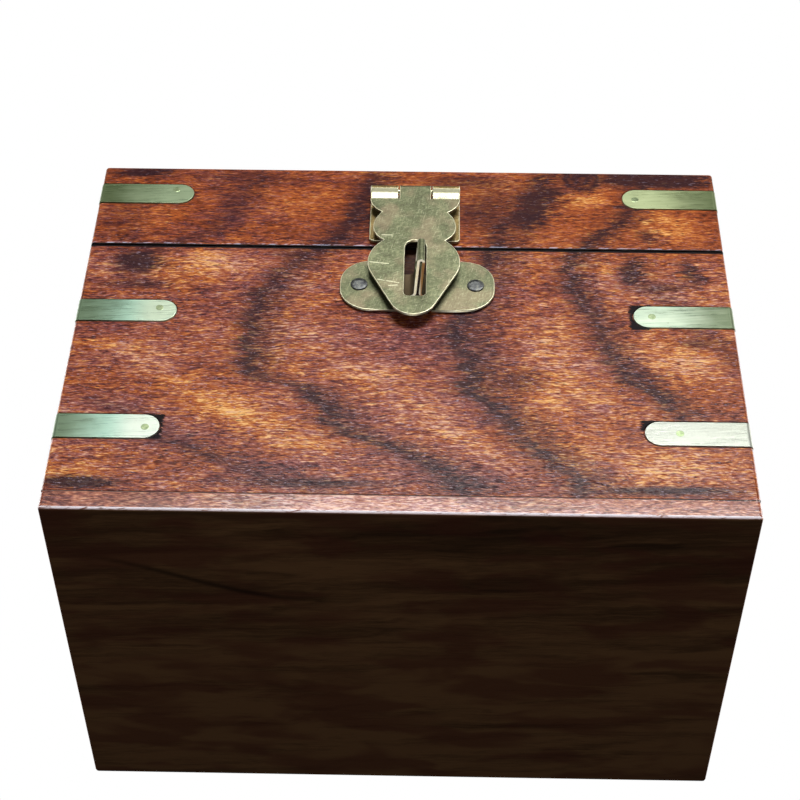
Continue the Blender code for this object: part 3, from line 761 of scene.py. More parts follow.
WARM_TONES: Stops = (
    (0.0, (56, 24, 16)),
    (0.22, (98, 43, 22)),
    (0.42, (140, 67, 30)),
    (0.6, (170, 88, 40)),
    (0.8, (204, 130, 62)),
    (1.0, (234, 182, 112)),
)
COOL_TONES: Stops = (
    (0.0, (38, 20, 28)),
    (0.22, (70, 34, 38)),
    (0.42, (104, 52, 50)),
    (0.6, (134, 72, 66)),
    (0.8, (170, 108, 96)),
    (1.0, (216, 164, 140)),
)
BASE_WARM: Stops = (
    (0.0, (92, 46, 38)),
    (0.25, (134, 74, 58)),
    (0.5, (170, 102, 76)),
    (0.75, (202, 136, 100)),
    (1.0, (234, 184, 146)),
)
BASE_COOL: Stops = (
    (0.0, (78, 44, 52)),
    (0.25, (120, 70, 76)),
    (0.5, (160, 102, 100)),
    (0.75, (196, 142, 134)),
    (1.0, (230, 192, 182)),
)
UNDERSIDE: Stops = (
    (0.0, (66, 45, 30)),
    (0.5, (100, 70, 46)),
    (1.0, (138, 100, 66)),
)


# Finishes


@dataclass(frozen=True)
class Sheesham:
    """Lacquered rosewood: short flecks of many browns, dark pores, dark figure, rubbed edges."""

    name: str
    grain: Grain
    figure: Figure
    warm: Stops = WARM_TONES
    cool: Stops = COOL_TONES
    lacquer: float = 0.24
    shift: float = 0.0
    wave_length: float = 9.0
    wave_reach: float = 0.9
    pore: Shade = (46, 27, 32)
    heart: Shade = (40, 20, 27)
    glint: Shade = (200, 178, 196)
    rubbed: Shade = (196, 132, 92)
    # colour of the painted highlight on the lid's lower arris
    lip_glint: Shade = (196, 202, 228)
    # colour of the painted shade along the seam
    seam_shadow: Shade = (14, 9, 9)
    bare: Shade = (140, 88, 60)
    filler: Shade = (26, 21, 22)
    # colour of the painted shadow under the flap
    flap_shadow: Shade = (30, 19, 15)
    russet: Shade = (98, 52, 40)
    shake: Shade = (40, 27, 18)
    # colour of the painted highlight on the base's front arris
    arris: Shade = (250, 244, 252)

    def material(self) -> bpy.types.Material:
        """Build the material.

        Returns:
            The material.
        """
        sheet = NodeSheet.for_material(self.name)
        at = Place(sheet)
        at.waved(self.wave_length, self.wave_reach)
        layers = (FLECKS, DASHES, HAIRS, CLOUDS, PATCHES, TINTS, STREAKS)
        fleck, dash, hair, cloud, patch, tint, streak = (self._read(at, layer) for layer in layers)

        front = self.figure is Figure.FRONT
        # On the front, dim gives the lid a darker tone, weaker fine marks, fewer painted glints and
        # a thinner coat; the darker tone and fewer glints are painted shade for the lid's lesser
        # sheen. On the base, dim darkens the left end.
        dim: Number = at.z.rise(*LID_SHADE) if front else 0.0
        right: Number = at.x.rise(*FRONT_RIGHT) if front else 0.0
        fine = (fleck.swing(1.25) + dash.swing(1.15)) * (1.0 - dim * 0.2)
        broad = streak.swing(0.5) + hair.swing(0.6) + cloud.swing(0.6)
        if self.figure is Figure.FAINT:
            dim, right = at.x.fall(*BASE_LEFT) * 1.8, at.x.rise(*BASE_RIGHT) * 3.0
            broad = broad + at.x.within(*BASE_PALE) * 0.16 - right * 0.03 + fine * 0.3
        tone = fine + broad + self._pale(at, streak)
        tone = tone + (0.52 - dim * (0.08 + right * 0.01)) + right * 0.012
        purple = patch.swing(1.4) + tint.swing(3.4) + self._zones(at, hair)
        purple = purple - dim * (0.3 + right * 0.2) - right * 0.14
        warm, cool = sheet.ramp(tone, self.warm), sheet.ramp(tone, self.cool)
        colour = sheet.mix((0.5 + purple).least(1.0).most(0.0), warm, cool)
        pore = self._read(at, PORES).rise(0.60, 0.68)
        colour = sheet.mix(pore * 0.7, colour, shade(self.pore))
        figure = self._figure(at, fleck, hair)
        dark = figure * (1.5 - fleck * 0.6 - dash * 0.4)
        colour = sheet.mix(dark.least(0.92), colour, shade(self.heart))
        # Painted highlight: pale specks that stand in for the lacquer's sparkle, thinned where the
        # wood is dimmed.
        glint = self._read(at, GLINTS).rise(0.6, 0.73) * (1.0 - dim * 0.6)
        colour = sheet.mix(glint * (0.45 + figure * 0.05), colour, shade(self.glint))

        wear = (at.edge_distance() + fleck.swing(1.6)).fall(*WORN_EDGE)
        colour = sheet.mix(wear * 0.25, colour, shade(self.rubbed))
        proud = (abs(at.x) - BOX_WIDTH / 2).most(abs(at.y) - BOX_DEPTH / 2)
        outer = proud.rise(*OUTER_FACE)
        # Painted highlight: broken pale glints along the lid's lower arris, just above the seam.
        lip = at.z.within(*SEAM_LIP) * fleck.rise(0.48, 0.6)
        colour = sheet.mix(lip * outer * 0.8, colour, shade(self.lip_glint))
        # Painted shade: the wood's outer faces are darkened along the gap between lid and body.
        seam_shadow = (at.z - SEAM_HEIGHT).within(*SEAM_SHADOW_BAND) * outer
        colour = sheet.mix(seam_shadow, colour, shade(self.seam_shadow))
        inside = at.inside()
        colour = sheet.mix(inside * 0.35, colour, shade(self.bare))
        rough = 0.42 + cloud.swing(0.2) + pore * 0.15 + inside * 0.2
        lacquer = (self.lacquer + dash.swing(1.6) - inside).most(0.0).least(1.0)
        if front:
            filler = self._filler(at, dash) * outer
            colour = sheet.mix(filler, colour, shade(self.filler))
            lacquer = lacquer * (1.0 - filler) * (1.0 - dim * 0.5)
            # Painted shadow: the wood under the flap, behind its slot, is darkened, and it stays
            # dark when the flap is lifted.
            flap_shadow = at.x.within(*FLAP_SHADOW_ACROSS) * at.z.within(*FLAP_SHADOW_UP) * outer
            colour = sheet.mix(flap_shadow * 0.92, colour, shade(self.flap_shadow))
        if self.figure is Figure.FAINT:
            colour = self._underside(at, colour, fleck, hair, patch)
        relief = fleck * 0.5 + dash * 0.5 - pore * 0.6
        return sheet.finish(
            Base_Color=colour,
            Roughness=rough,
            Specular_IOR_Level=0.04,
            Normal=sheet.bump(relief, 0.45, 0.00009),
            Coat_Weight=lacquer,
            Coat_Roughness=0.25,
        )

    def _read(self, at: Place, layer: Marks) -> Signal:
        """Read a layer of marks on this board."""
        return layer.read(at, self.grain, self.shift)

    def _pale(self, at: Place, streak: Signal) -> Number:
        """Lift the tone of the front where the photograph's wood is pale.

        Args:
            at: the place on the box.
            streak: the broad marks, which comb the edges.

        Returns:
            The lift, or 0 on another board.
        """
        if self.figure is not Figure.FRONT:
            return 0.0
        place = at.carried(streak.swing(14.0))
        lifted: Number = 0.0
        for spot in PALE_SPOTS:
            lifted = spot.mask(at, place, 0.22) + lifted
        return lifted

    def _zones(self, at: Place, hair: Signal) -> Number:
        """Shift the front's hue towards purple or orange where the photograph's wood goes so.

        Args:
            at: the place on the box.
            hair: the long marks, which comb the edges.

        Returns:
            The shift, over 0 for purple, or 0 on another board.
        """
        if self.figure is not Figure.FRONT:
            return 0.0
        place = at.carried(hair.swing(16.0))
        shifted: Number = 0.0
        for zone in PURPLE_ZONES:
            shifted = zone.mask(at, place, 0.35) + shifted
        for zone in ORANGE_ZONES:
            shifted = shifted - zone.mask(at, place, 0.45)
        return shifted

    def _filler(self, at: Place, dash: Signal) -> Signal:
        """Mark the dark filler that squares the ends of some strap pockets.

        Args:
            at: the place on the box.
            dash: the short marks, which roughen its edges.

        Returns:
            The filler from 0 to 1.
        """
        stray = dash.swing(3.0)
        mask: Optional[Signal] = None
        for (left, right), (low, high) in FILLED_POCKETS:
            area = (at.x + stray).within(left, right, 0.2)
            area = area * (at.z + stray * 0.4).within(low, high, 0.12)
            mask = area if mask is None else mask.most(area)
        return mask

    def _figure(self, at: Place, fleck: Signal, hair: Signal) -> Signal:
        """Draw the dark figure.

        Args:
            at: the place on the box.
            fleck: the short marks, which comb the figure's edges.
            hair: the long marks, which do the same.

        Returns:
            How dark the figure is, from 0 to 1.
        """
        comb = self._read(at, COMB)
        if self.figure is Figure.FRONT:
            stray = comb.swing(11.0) + fleck.swing(9.0)
            dark = FRONT_KNOT.mask(at, stray)
            for line in FRONT_LINES:
                dark = dark.most(line.mask(at, stray))
            place = at.carried(stray)
            for spot in FRONT_SPOTS:
                dark = dark.most(spot.mask(at, place))
            return dark * (0.55 + self._read(at, BREAKS) * 1.1)
        count, strength = (9.0, 0.9) if self.figure is Figure.RINGS else (4.0, 0.4)
        ring = self._read(at, GROWTH) * count + comb.swing(0.9) + hair.swing(0.3)
        wave = abs(ring.fraction() - 0.5) * 2.0
        return wave.rise(0.62, 0.98) * strength

    def _underside(
        self,
        at: Place,
        colour: bpy.types.NodeSocket,
        fleck: Signal,
        hair: Signal,
        patch: Signal,
    ) -> bpy.types.NodeSocket:
        """Darken the base's underside, paint it lighter towards the back, draw its shake and paint
        a highlight along its front arris.

        Args:
            at: the place on the box.
            colour: the base's colour so far.
            fleck: the short marks.
            hair: the long marks.
            patch: the broad patches.

        Returns:
            The base's colour.
        """
        sheet = at.sheet
        streak = 0.5 + self._read(at, CALM).swing(2.3) + hair.swing(0.7) + fleck.swing(0.25)
        # Painted light: the underside is painted lighter towards the back.
        under = sheet.ramp(streak + at.y.rise(*BASE_DEPTH) * 0.5, UNDERSIDE)
        under = sheet.mix(patch.rise(0.42, 0.62) * 0.6, under, shade(self.russet))
        bend = at.x.rise(*SHAKE_BEND) * 15.0 - 36.5
        shake = (at.y - bend).within(*SHAKE_WIDTH) * at.x.within(*SHAKE_SPAN)
        under = sheet.mix(shake * 0.7, under, shade(self.shake))
        colour = sheet.mix(at.z.fall(*BASE_UNDER), colour, under)
        # Painted highlight: a broken pale line along the base's front bottom arris.
        arris = at.z.within(*ARRIS_GLINT_UP) * at.y.fall(*ARRIS_GLINT_FRONT) * fleck.rise(0.3, 0.45)
        return sheet.mix(arris * 0.9, colour, shade(self.arris))


@dataclass(frozen=True)
class GlueLine:
    """Dark glue in the joints, chipped white at the right end of the base."""

    name: str = "joint_glue"
    tones: Stops = ((0.25, (40, 24, 20)), (0.5, (84, 48, 36)), (0.75, (124, 76, 58)))
    dark: Shade = (22, 14, 12)
    chip: Shade = (232, 220, 216)
    chipped_across: Point = (44.0, 54.0)
    chipped_up: Triple = (4.4, 6.0, 0.3)

    def material(self) -> bpy.types.Material:
        """Build the material.

        Returns:
            The material.
        """
        sheet = NodeSheet.for_material(self.name)
        at = Place(sheet)
        grit = sheet.noise(at.stretched((0.9, 0.9, 2.0)), 3.0, 0.65)
        streak = sheet.noise(at.stretched((0.12, 0.12, 1.4)), 2.0, 0.6)
        colour = sheet.ramp(grit * 0.6 + streak * 0.4, self.tones)
        end = at.x.rise(*self.chipped_across) * at.z.within(*self.chipped_up)
        colour = sheet.mix(end * 0.85, colour, shade(self.dark))
        chip = grit.rise(0.56, 0.62) * end
        colour = sheet.mix(chip * 0.8, colour, shade(self.chip))
        return sheet.finish(
            Base_Color=colour,
            Roughness=0.55 + grit.swing(0.3),
            Normal=sheet.bump(grit, 0.5, 0.0001),
        )


@dataclass(frozen=True)
class StrapBrass:
    """Pale brass, brushed along the strip, painted darker and greener towards the fold and on the
    lid as painted shade, with painted reflection tints by row and side on the front legs.
    """

    name: str = "strap_brass"
    facing: Stops = ((0.0, (142, 166, 144)), (0.5, (173, 190, 166)), (1.0, (202, 212, 188)))
    turned: Stops = ((0.0, (146, 140, 92)), (0.5, (194, 184, 128)), (1.0, (222, 214, 162)))
    upper: Shade = (172, 216, 194)
    upper_end: Shade = (196, 212, 184)
    lower: Shade = (168, 213, 197)
    lower_end: Shade = (194, 202, 190)
    lit: Shade = (148, 150, 141)
    # tints of the painted reflection on the lid row, then the colour of the painted shade towards
    # the fold
    lid_reflection_left: Shade = (140, 158, 116)
    lid_reflection_right: Shade = (176, 186, 128)
    dull: Shade = (72, 86, 46)
    stain: Shade = (108, 116, 84)
    upper_row: Triple = (42.0, 80.0, 4.0)
    lower_row: Point = (36.0, 42.0)
    lit_row: Point = (30.0, 50.0)
    lid_row: Point = (84.0, 96.0)
    inner: Point = (11.0, 18.0)
    painted_shade_reach: Point = (1.0, 19.0)
    folded: Point = (0.5, 1.0)
    left_to_right: Point = (-20.0, 20.0)
    front_face: Point = (-50.8, -50.5)

    def material(self) -> bpy.types.Material:
        """Build the material.

        Returns:
            The material.
        """
        sheet = NodeSheet.for_material(self.name)
        at = Place(sheet)
        brush = sheet.noise(at.stretched((0.06, 0.06, 6.0)), 3.0, 0.62)
        strokes = at.stretched((0.07, 0.07, 2.2), (5.0, 3.0, 8.0), (0.0, 6.0, 0.0))
        stroke = sheet.noise(strokes, 2.0, 0.6)
        cloud = sheet.noise(at.stretched((0.13, 0.13, 0.3), (17.0, 2.0, 9.0)), 3.0, 0.55)
        spot = sheet.noise(at.stretched((0.9, 0.9, 0.9), (4.0, 8.0, 1.0)), 2.0, 0.6)
        marks = brush.swing(1.3) + stroke.swing(1.0)
        tone = 0.5 + marks * 0.9 + cloud.swing(0.7)
        corner = (BOX_WIDTH / 2 - abs(at.x)).most(BOX_DEPTH / 2 - abs(at.y))
        inner = corner.rise(*self.inner)
        front = at.y.fall(*self.front_face)
        right = at.x.rise(*self.left_to_right)
        lit = right * at.z.fall(*self.lit_row)
        lid = at.z.rise(*self.lid_row)

        # Painted reflection: on the front legs each row and side gets its own tint, paler towards
        # the inner end on the left, a lit tint low on the right and olive on the lid; the other
        # legs take the turned tones.
        colour = sheet.ramp(tone, self.facing)
        for row, share, near, far in (
            (at.z.within(*self.upper_row), 0.75, self.upper, self.upper_end),
            (at.z.fall(*self.lower_row), 0.7, self.lower, self.lower_end),
        ):
            tint = sheet.mix(inner, shade(near), shade(far))
            colour = sheet.mix(row * (1.0 - right) * share, colour, tint)
        colour = sheet.mix(lit * 0.9, colour, shade(self.lit))
        lid_reflection = sheet.mix(right, shade(self.lid_reflection_left), shade(self.lid_reflection_right))
        colour = sheet.mix(lid * 0.75, colour, lid_reflection)
        colour = sheet.mix(front, sheet.ramp(tone, self.turned), colour)
        # Painted shade: the strip is painted darker and greener towards the fold, less where it is
        # lit and less on the other legs.
        dull = (corner + cloud.swing(8.0) + marks * 2.0).fall(*self.painted_shade_reach)
        dull = dull * (1.0 - lit * 0.85) * (0.4 + front * 0.6)
        colour = sheet.mix(dull * 0.85, colour, shade(self.dull))
        stain = spot.rise(0.64, 0.74)
        colour = sheet.mix(stain * 0.4, colour, shade(self.stain))
        fold = corner.fall(*self.folded)
        return sheet.finish(
            Base_Color=colour,
            Metallic=0.45 - fold * 0.2,
            Roughness=0.29 + cloud.swing(0.1) + marks * 0.1 + stain * 0.1 + fold * 0.2,
            Normal=sheet.bump(brush * 0.5 + stroke * 0.5, 0.6, 0.00005),
        )


@dataclass(frozen=True)
class WornBrass:
    """Dull sheet brass, clouded with oxide and scuffed in many directions, and painted darker as
    painted shade in a zone where one is given.
    """

    name: str
    tones: Stops
    roughness: float = 0.44
    scratches: Tuple[Tuple[Point, Point], ...] = ()
    rosy: float = 0.3
    metal: float = 0.55
    relief: float = 0.22
    painted_shade_zone: Optional[Tuple[Triple, Triple]] = None
    painted_shade_colour: Shade = (66, 48, 24)
    slant: Triple = (0.0, 0.0, 0.0)
    copper: Shade = (158, 132, 108)
    scuffed: Shade = (226, 224, 190)

    def material(self) -> bpy.types.Material:
        """Build the material.

        Returns:
            The material.
        """
        sheet = NodeSheet.for_material(self.name)
        at = Place(sheet)
        cloud = sheet.noise(at.stretched((0.2, 0.2, 0.2), (3.0, 9.0, 1.0)), 3.0, 0.6, 0.4)
        grit = sheet.noise(at.stretched((1.5, 1.5, 1.5)), 4.0, 0.7)
        scuffs = at.stretched((0.5, 0.5, 7.0), (1.0, 2.0, 3.0), (0.0, 24.0, 0.0))
        scuff = sheet.noise(scuffs, 2.0, 0.6)
        crosses = at.stretched((0.4, 0.4, 6.0), (7.0, 5.0, 2.0), (0.0, 78.0, 0.0))
        cross = sheet.noise(crosses, 2.0, 0.6)
        rosy = sheet.noise(at.stretched((0.13, 0.13, 0.13), (23.0, 1.0, 6.0)), 2.0, 0.5)
        tone = 0.5 + cloud.swing(0.9) + grit.swing(1.4) + scuff.swing(0.8) + cross.swing(0.6)
        colour = sheet.ramp(tone, self.tones)
        colour = sheet.mix(rosy.rise(0.46, 0.66) * self.rosy, colour, shade(self.copper))
        mark = (scuff.rise(0.60, 0.70) + cross.rise(0.62, 0.72)) * 0.22
        for start, end in self.scratches:
            mark = mark.most(at.near_line(start, end, 0.35) * grit.rise(0.36, 0.5))
        colour = sheet.mix(mark.least(0.6), colour, shade(self.scuffed))
        rough = self.roughness + cloud.swing(0.12) + grit.swing(0.15) - mark * 0.08
        # Painted shade: the given zone is painted in a darker colour and made rougher.
        if self.painted_shade_zone:
            dull: Number = 0.85
            for value, low, high in zip((at.x, at.y, at.z), *self.painted_shade_zone):
                dull = value.within(low, high, 0.4) * dull
            colour = sheet.mix(dull, colour, shade(self.painted_shade_colour))
            rough = rough + dull * 0.2
        facing = sheet.bump(grit * 0.4 + scuff * 0.3 + cross * 0.3, self.relief, 0.00004)
        if any(self.slant):
            facing = at.combined("NORMALIZE", at.combined("ADD", facing, self.slant)[0])[0]
        return sheet.finish(Base_Color=colour, Metallic=self.metal, Roughness=rough, Normal=facing)


@dataclass(frozen=True)
class NailSteel:
    """Dark nail steel with filing marks and a little rust."""

    name: str = "nail_steel"
    tones: Stops = ((0.0, (48, 48, 54)), (0.5, (78, 80, 79)), (1.0, (126, 127, 120)))
    rust: Shade = (104, 96, 70)

    def material(self) -> bpy.types.Material:
        """Build the material.

        Returns:
            The material.
        """
        sheet = NodeSheet.for_material(self.name)
        at = Place(sheet)
        grit = sheet.noise(at.stretched((1.6, 1.6, 1.6)), 4.0, 0.65)
        files = at.stretched((0.9, 0.9, 8.0), (2.0, 1.0, 4.0), (0.0, 35.0, 0.0))
        filed = sheet.noise(files, 2.0, 0.6)
        tone = 0.5 + grit.swing(2.2) + filed.swing(1.2)
        colour = sheet.ramp(tone, self.tones)
        rust = grit.rise(0.58, 0.70)
        colour = sheet.mix(rust * 0.4, colour, shade(self.rust))
        return sheet.finish(
            Base_Color=colour,
            Metallic=0.9,
            Roughness=0.45 + grit.swing(0.3) + rust * 0.15,
            Normal=sheet.bump(grit * 0.5 + filed * 0.5, 0.3, 0.00006),
        )


HASP_TONES: Stops = ((0.0, (60, 63, 38)), (0.5, (94, 98, 68)), (1.0, (134, 138, 102)))
# The leaf's darker, golden tones are painted shade and reflection where it lies under the flap.
LEAF_TONES: Stops = ((0.0, (88, 74, 40)), (0.5, (128, 108, 60)), (1.0, (176, 152, 96)))
# Pale tones: the rims and the knuckles' hems are partly bright worn metal and partly painted
# highlight; the cut edges' near-white is painted highlight.
RIM_TONES: Stops = ((0.0, (196, 190, 150)), (0.5, (226, 222, 186)), (1.0, (244, 242, 214)))
CUT_TONES: Stops = ((0.0, (226, 206, 150)), (0.5, (248, 238, 208)), (1.0, (255, 252, 240)))
PIN_TONES: Stops = ((0.0, (98, 116, 78)), (0.5, (136, 152, 112)), (1.0, (172, 184, 146)))
HINGE_TONES: Stops = ((0.0, (150, 124, 70)), (0.5, (196, 166, 98)), (1.0, (224, 198, 132)))
# Zones of painted shade: the staple behind the flap's slot, the cut edges of the ridge's right leg
# (golden instead of pale), and the upper part of the knuckles' hems.
STAPLE_SHADOW_ZONE = ((-3.5, -53.4, 64.0), (8.0, -50.0, 90.0))
CUT_SHADE_ZONE = ((3.55, -62.3, 64.0), (8.0, -50.0, 80.0))
CUT_SLANT = (0.0, -1.0, 0.0)
HEM_SHADE_ZONE = ((-80.0, -80.0, 100.0), (80.0, -40.0, 120.0))
FLAP_SCRATCHES = (
    ((-8.5, 74.3), (-3.8, 73.7)),
    ((-6.4, 68.3), (-1.5, 67.2)),
    ((-5.9, 83.9), (-3.5, 83.9)),
    ((-3.8, 66.2), (-1.9, 66.4)),
)


# Modelling


class Part(Enum):
    """What is picked in edit mode."""

    FACE = "faces"
    EDGE = "edges"


class Bench:
    """Works on one object at a time with Blender's operators."""

    tolerance = 1e-6
    flat_angle = math.radians(1)
    sharp_angle = math.radians(38)
    smooth_angle = math.radians(40)
    facing = 0.9
    level = 0.99
    rim = 0.99
    point = 0.15

    @staticmethod
    def take(obj: bpy.types.Object) -> None:
        """Leave edit mode, then select one object alone and make it active.

        Args:
            obj: the object.
        """
        if bpy.context.mode != "OBJECT":
            bpy.ops.object.mode_set(mode="OBJECT")
        bpy.ops.object.select_all(action="DESELECT")
        obj.select_set(True)
        bpy.context.view_layer.objects.active = obj

    @staticmethod
    def edit(obj: bpy.types.Object) -> None:
        """Open one object in edit mode with nothing selected."""
        Bench.take(obj)
        bpy.ops.object.mode_set(mode="EDIT")
        bpy.ops.mesh.select_all(action="DESELECT")

    @staticmethod
    def pick(obj: bpy.types.Object, kind: Part, test: Callable[[Any], bool]) -> None:
        """In edit mode, select just the faces or edges that pass a test.

        Args:
            obj: the object in edit mode.
            kind: faces or edges.
            test: says whether one of them is wanted.
        """
        bpy.ops.mesh.select_mode(type=kind.name)
        bpy.ops.mesh.select_all(action="DESELECT")
        mesh = bmesh.from_edit_mesh(obj.data)
        for part in [part for part in getattr(mesh, kind.value) if test(part)]:
            part.select_set(True)
        bmesh.update_edit_mesh(obj.data)

    @staticmethod
    def copy_of(node: str, name: str) -> bpy.types.Object:
        """Copy a CAD node and merge its loose triangles into whole faces.

        Args:
            node: the node's name.
            name: the copy's name.

        Returns:
            The copy.
        """
        obj = bpy.data.objects.new(name, frame["nodes"][node].data.copy())
        bpy.context.scene.collection.objects.link(obj)
        Bench.edit(obj)
        bpy.ops.mesh.select_all(action="SELECT")
        bpy.ops.mesh.remove_doubles(threshold=Bench.tolerance)
        bpy.ops.mesh.dissolve_limited(angle_limit=Bench.flat_angle)
        bpy.ops.object.mode_set(mode="OBJECT")
        return obj

    @staticmethod
    def ease(
        obj: bpy.types.Object,
        width: float,
        segments: int = 2,
        rim_slot: int = -1,
        test: Optional[Callable[[bmesh.types.BMEdge], bool]] = None,
    ) -> None:
        """Round the sharp edges a little, with flat faces that stay flat to the light.

        Args:
            obj: the object.
            width: how far the rounding reaches from the edge.
            segments: facets across the rounding.
            rim_slot: the material slot for the rounding, if not its neighbours'.
            test: tells which of the sharp edges to round, if not all.
        """

        def sharp(edge: bmesh.types.BMEdge) -> bool:
            """Tell whether an edge is to be rounded."""
            return edge.calc_face_angle(0.0) > Bench.sharp_angle and (test is None or test(edge))

        Bench.edit(obj)
        Bench.pick(obj, Part.EDGE, sharp)
        bpy.ops.mesh.bevel(offset=width, segments=segments, material=rim_slot, clamp_overlap=True)
        bpy.ops.object.mode_set(mode="OBJECT")
        Bench.smooth(obj)
        modifier = obj.modifiers.new("flatten", "WEIGHTED_NORMAL")
        modifier.weight = 100
        modifier.keep_sharp = True
        bpy.ops.object.modifier_apply(modifier=modifier.name)

    @staticmethod
    def smooth(obj: bpy.types.Object) -> None:
        """Shade an object smooth, with its sharp edges kept."""
        Bench.take(obj)
        bpy.ops.object.shade_smooth_by_angle(angle=Bench.smooth_angle)

    @staticmethod
    def stud(sides: int, radius: float, height: float) -> bpy.types.Object:
        """Start a round piece that hangs down from the origin, open in edit mode.

        Args:
            sides: facets round it.
            radius: its radius.
            height: its height.

        Returns:
            The piece.
        """
        bpy.ops.object.select_all(action="DESELECT")
        bpy.ops.mesh.primitive_cylinder_add(
            vertices=sides, radius=radius, depth=height, location=(0, 0, -height / 2)
        )
        stud = bpy.context.active_object
        bpy.ops.object.transform_apply(location=True, rotation=True, scale=True)
        Bench.edit(stud)
        return stud

    @staticmethod
    def shank(length: float, straight: float) -> None:
        """In edit mode, draw the picked face down into a pointed shank.

        Args:
            length: the shank's whole length.
            straight: the share of it that is above the point.
        """
        for share in (straight, 1.0 - straight):
            move = {"value": (0, 0, -length * share)}
            bpy.ops.mesh.extrude_region_move(TRANSFORM_OT_translate=move)
        bpy.ops.transform.resize(value=(Bench.point, Bench.point, 1.0))

    @staticmethod
    def place(model: bpy.types.Object, name: str, where: Matrix) -> bpy.types.Object:
        """Copy a model that stands at the origin, with its place in the copy's own mesh.

        Args:
            model: the piece that was modelled once.
            name: the copy's name.
            where: its place.

        Returns:
            The copy.
        """
        copy = bpy.data.objects.new(name, model.data.copy())
        copy.data.transform(where)
        bpy.context.scene.collection.objects.link(copy)
        return copy

    @staticmethod
    def drop(obj: bpy.types.Object) -> None:
        """Throw a model or a cutter away."""
        bpy.data.objects.remove(obj)


def dress(obj: bpy.types.Object, *materials: bpy.types.Material) -> None:
    """Give an object its materials through its slots.

    Args:
        obj: a CAD node or a new piece.
        materials: one for each slot; the first also fills any slot that is left.
    """
    while len(obj.material_slots) < len(materials):
        obj.data.materials.append(None)
    for number, slot in enumerate(obj.material_slots):
        slot.material = materials[number] if number < len(materials) else materials[0]


def body_of(node: str) -> str:
    """Find the body that a CAD node belongs to."""
    bodies = frame["record"]["behaviour"]["bodies"]
    return next(body for body, nodes in bodies.items() if node in nodes)


def hand_over(
    obj: bpy.types.Object,
    body: str,
    stands_for: Sequence[str] = (),
    finish: Optional[bpy.types.Material] = None,
) -> None:
    """Hand a finished piece to the frame.

    Args:
        obj: the piece.
        body: the body it moves with.
        stands_for: CAD nodes that it is shown instead of.
        finish: its material, unless it is dressed already.
    """
    if finish:
        dress(obj, finish)
    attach(obj, body)
    if stands_for:
        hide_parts(*stands_for)
    LOG.info("%s: %d faces, moves with %s", obj.name, len(obj.data.polygons), body)


def on_rim(edge: bmesh.types.BMEdge, radius: float) -> bool:
    """Tell whether an edge lies on the rim of a stud's top."""
    ends = [corner.co for corner in edge.verts]
    return all(end.z > -Bench.tolerance and end.xy.length > radius * Bench.rim for end in ends)


# Sub-assemblies


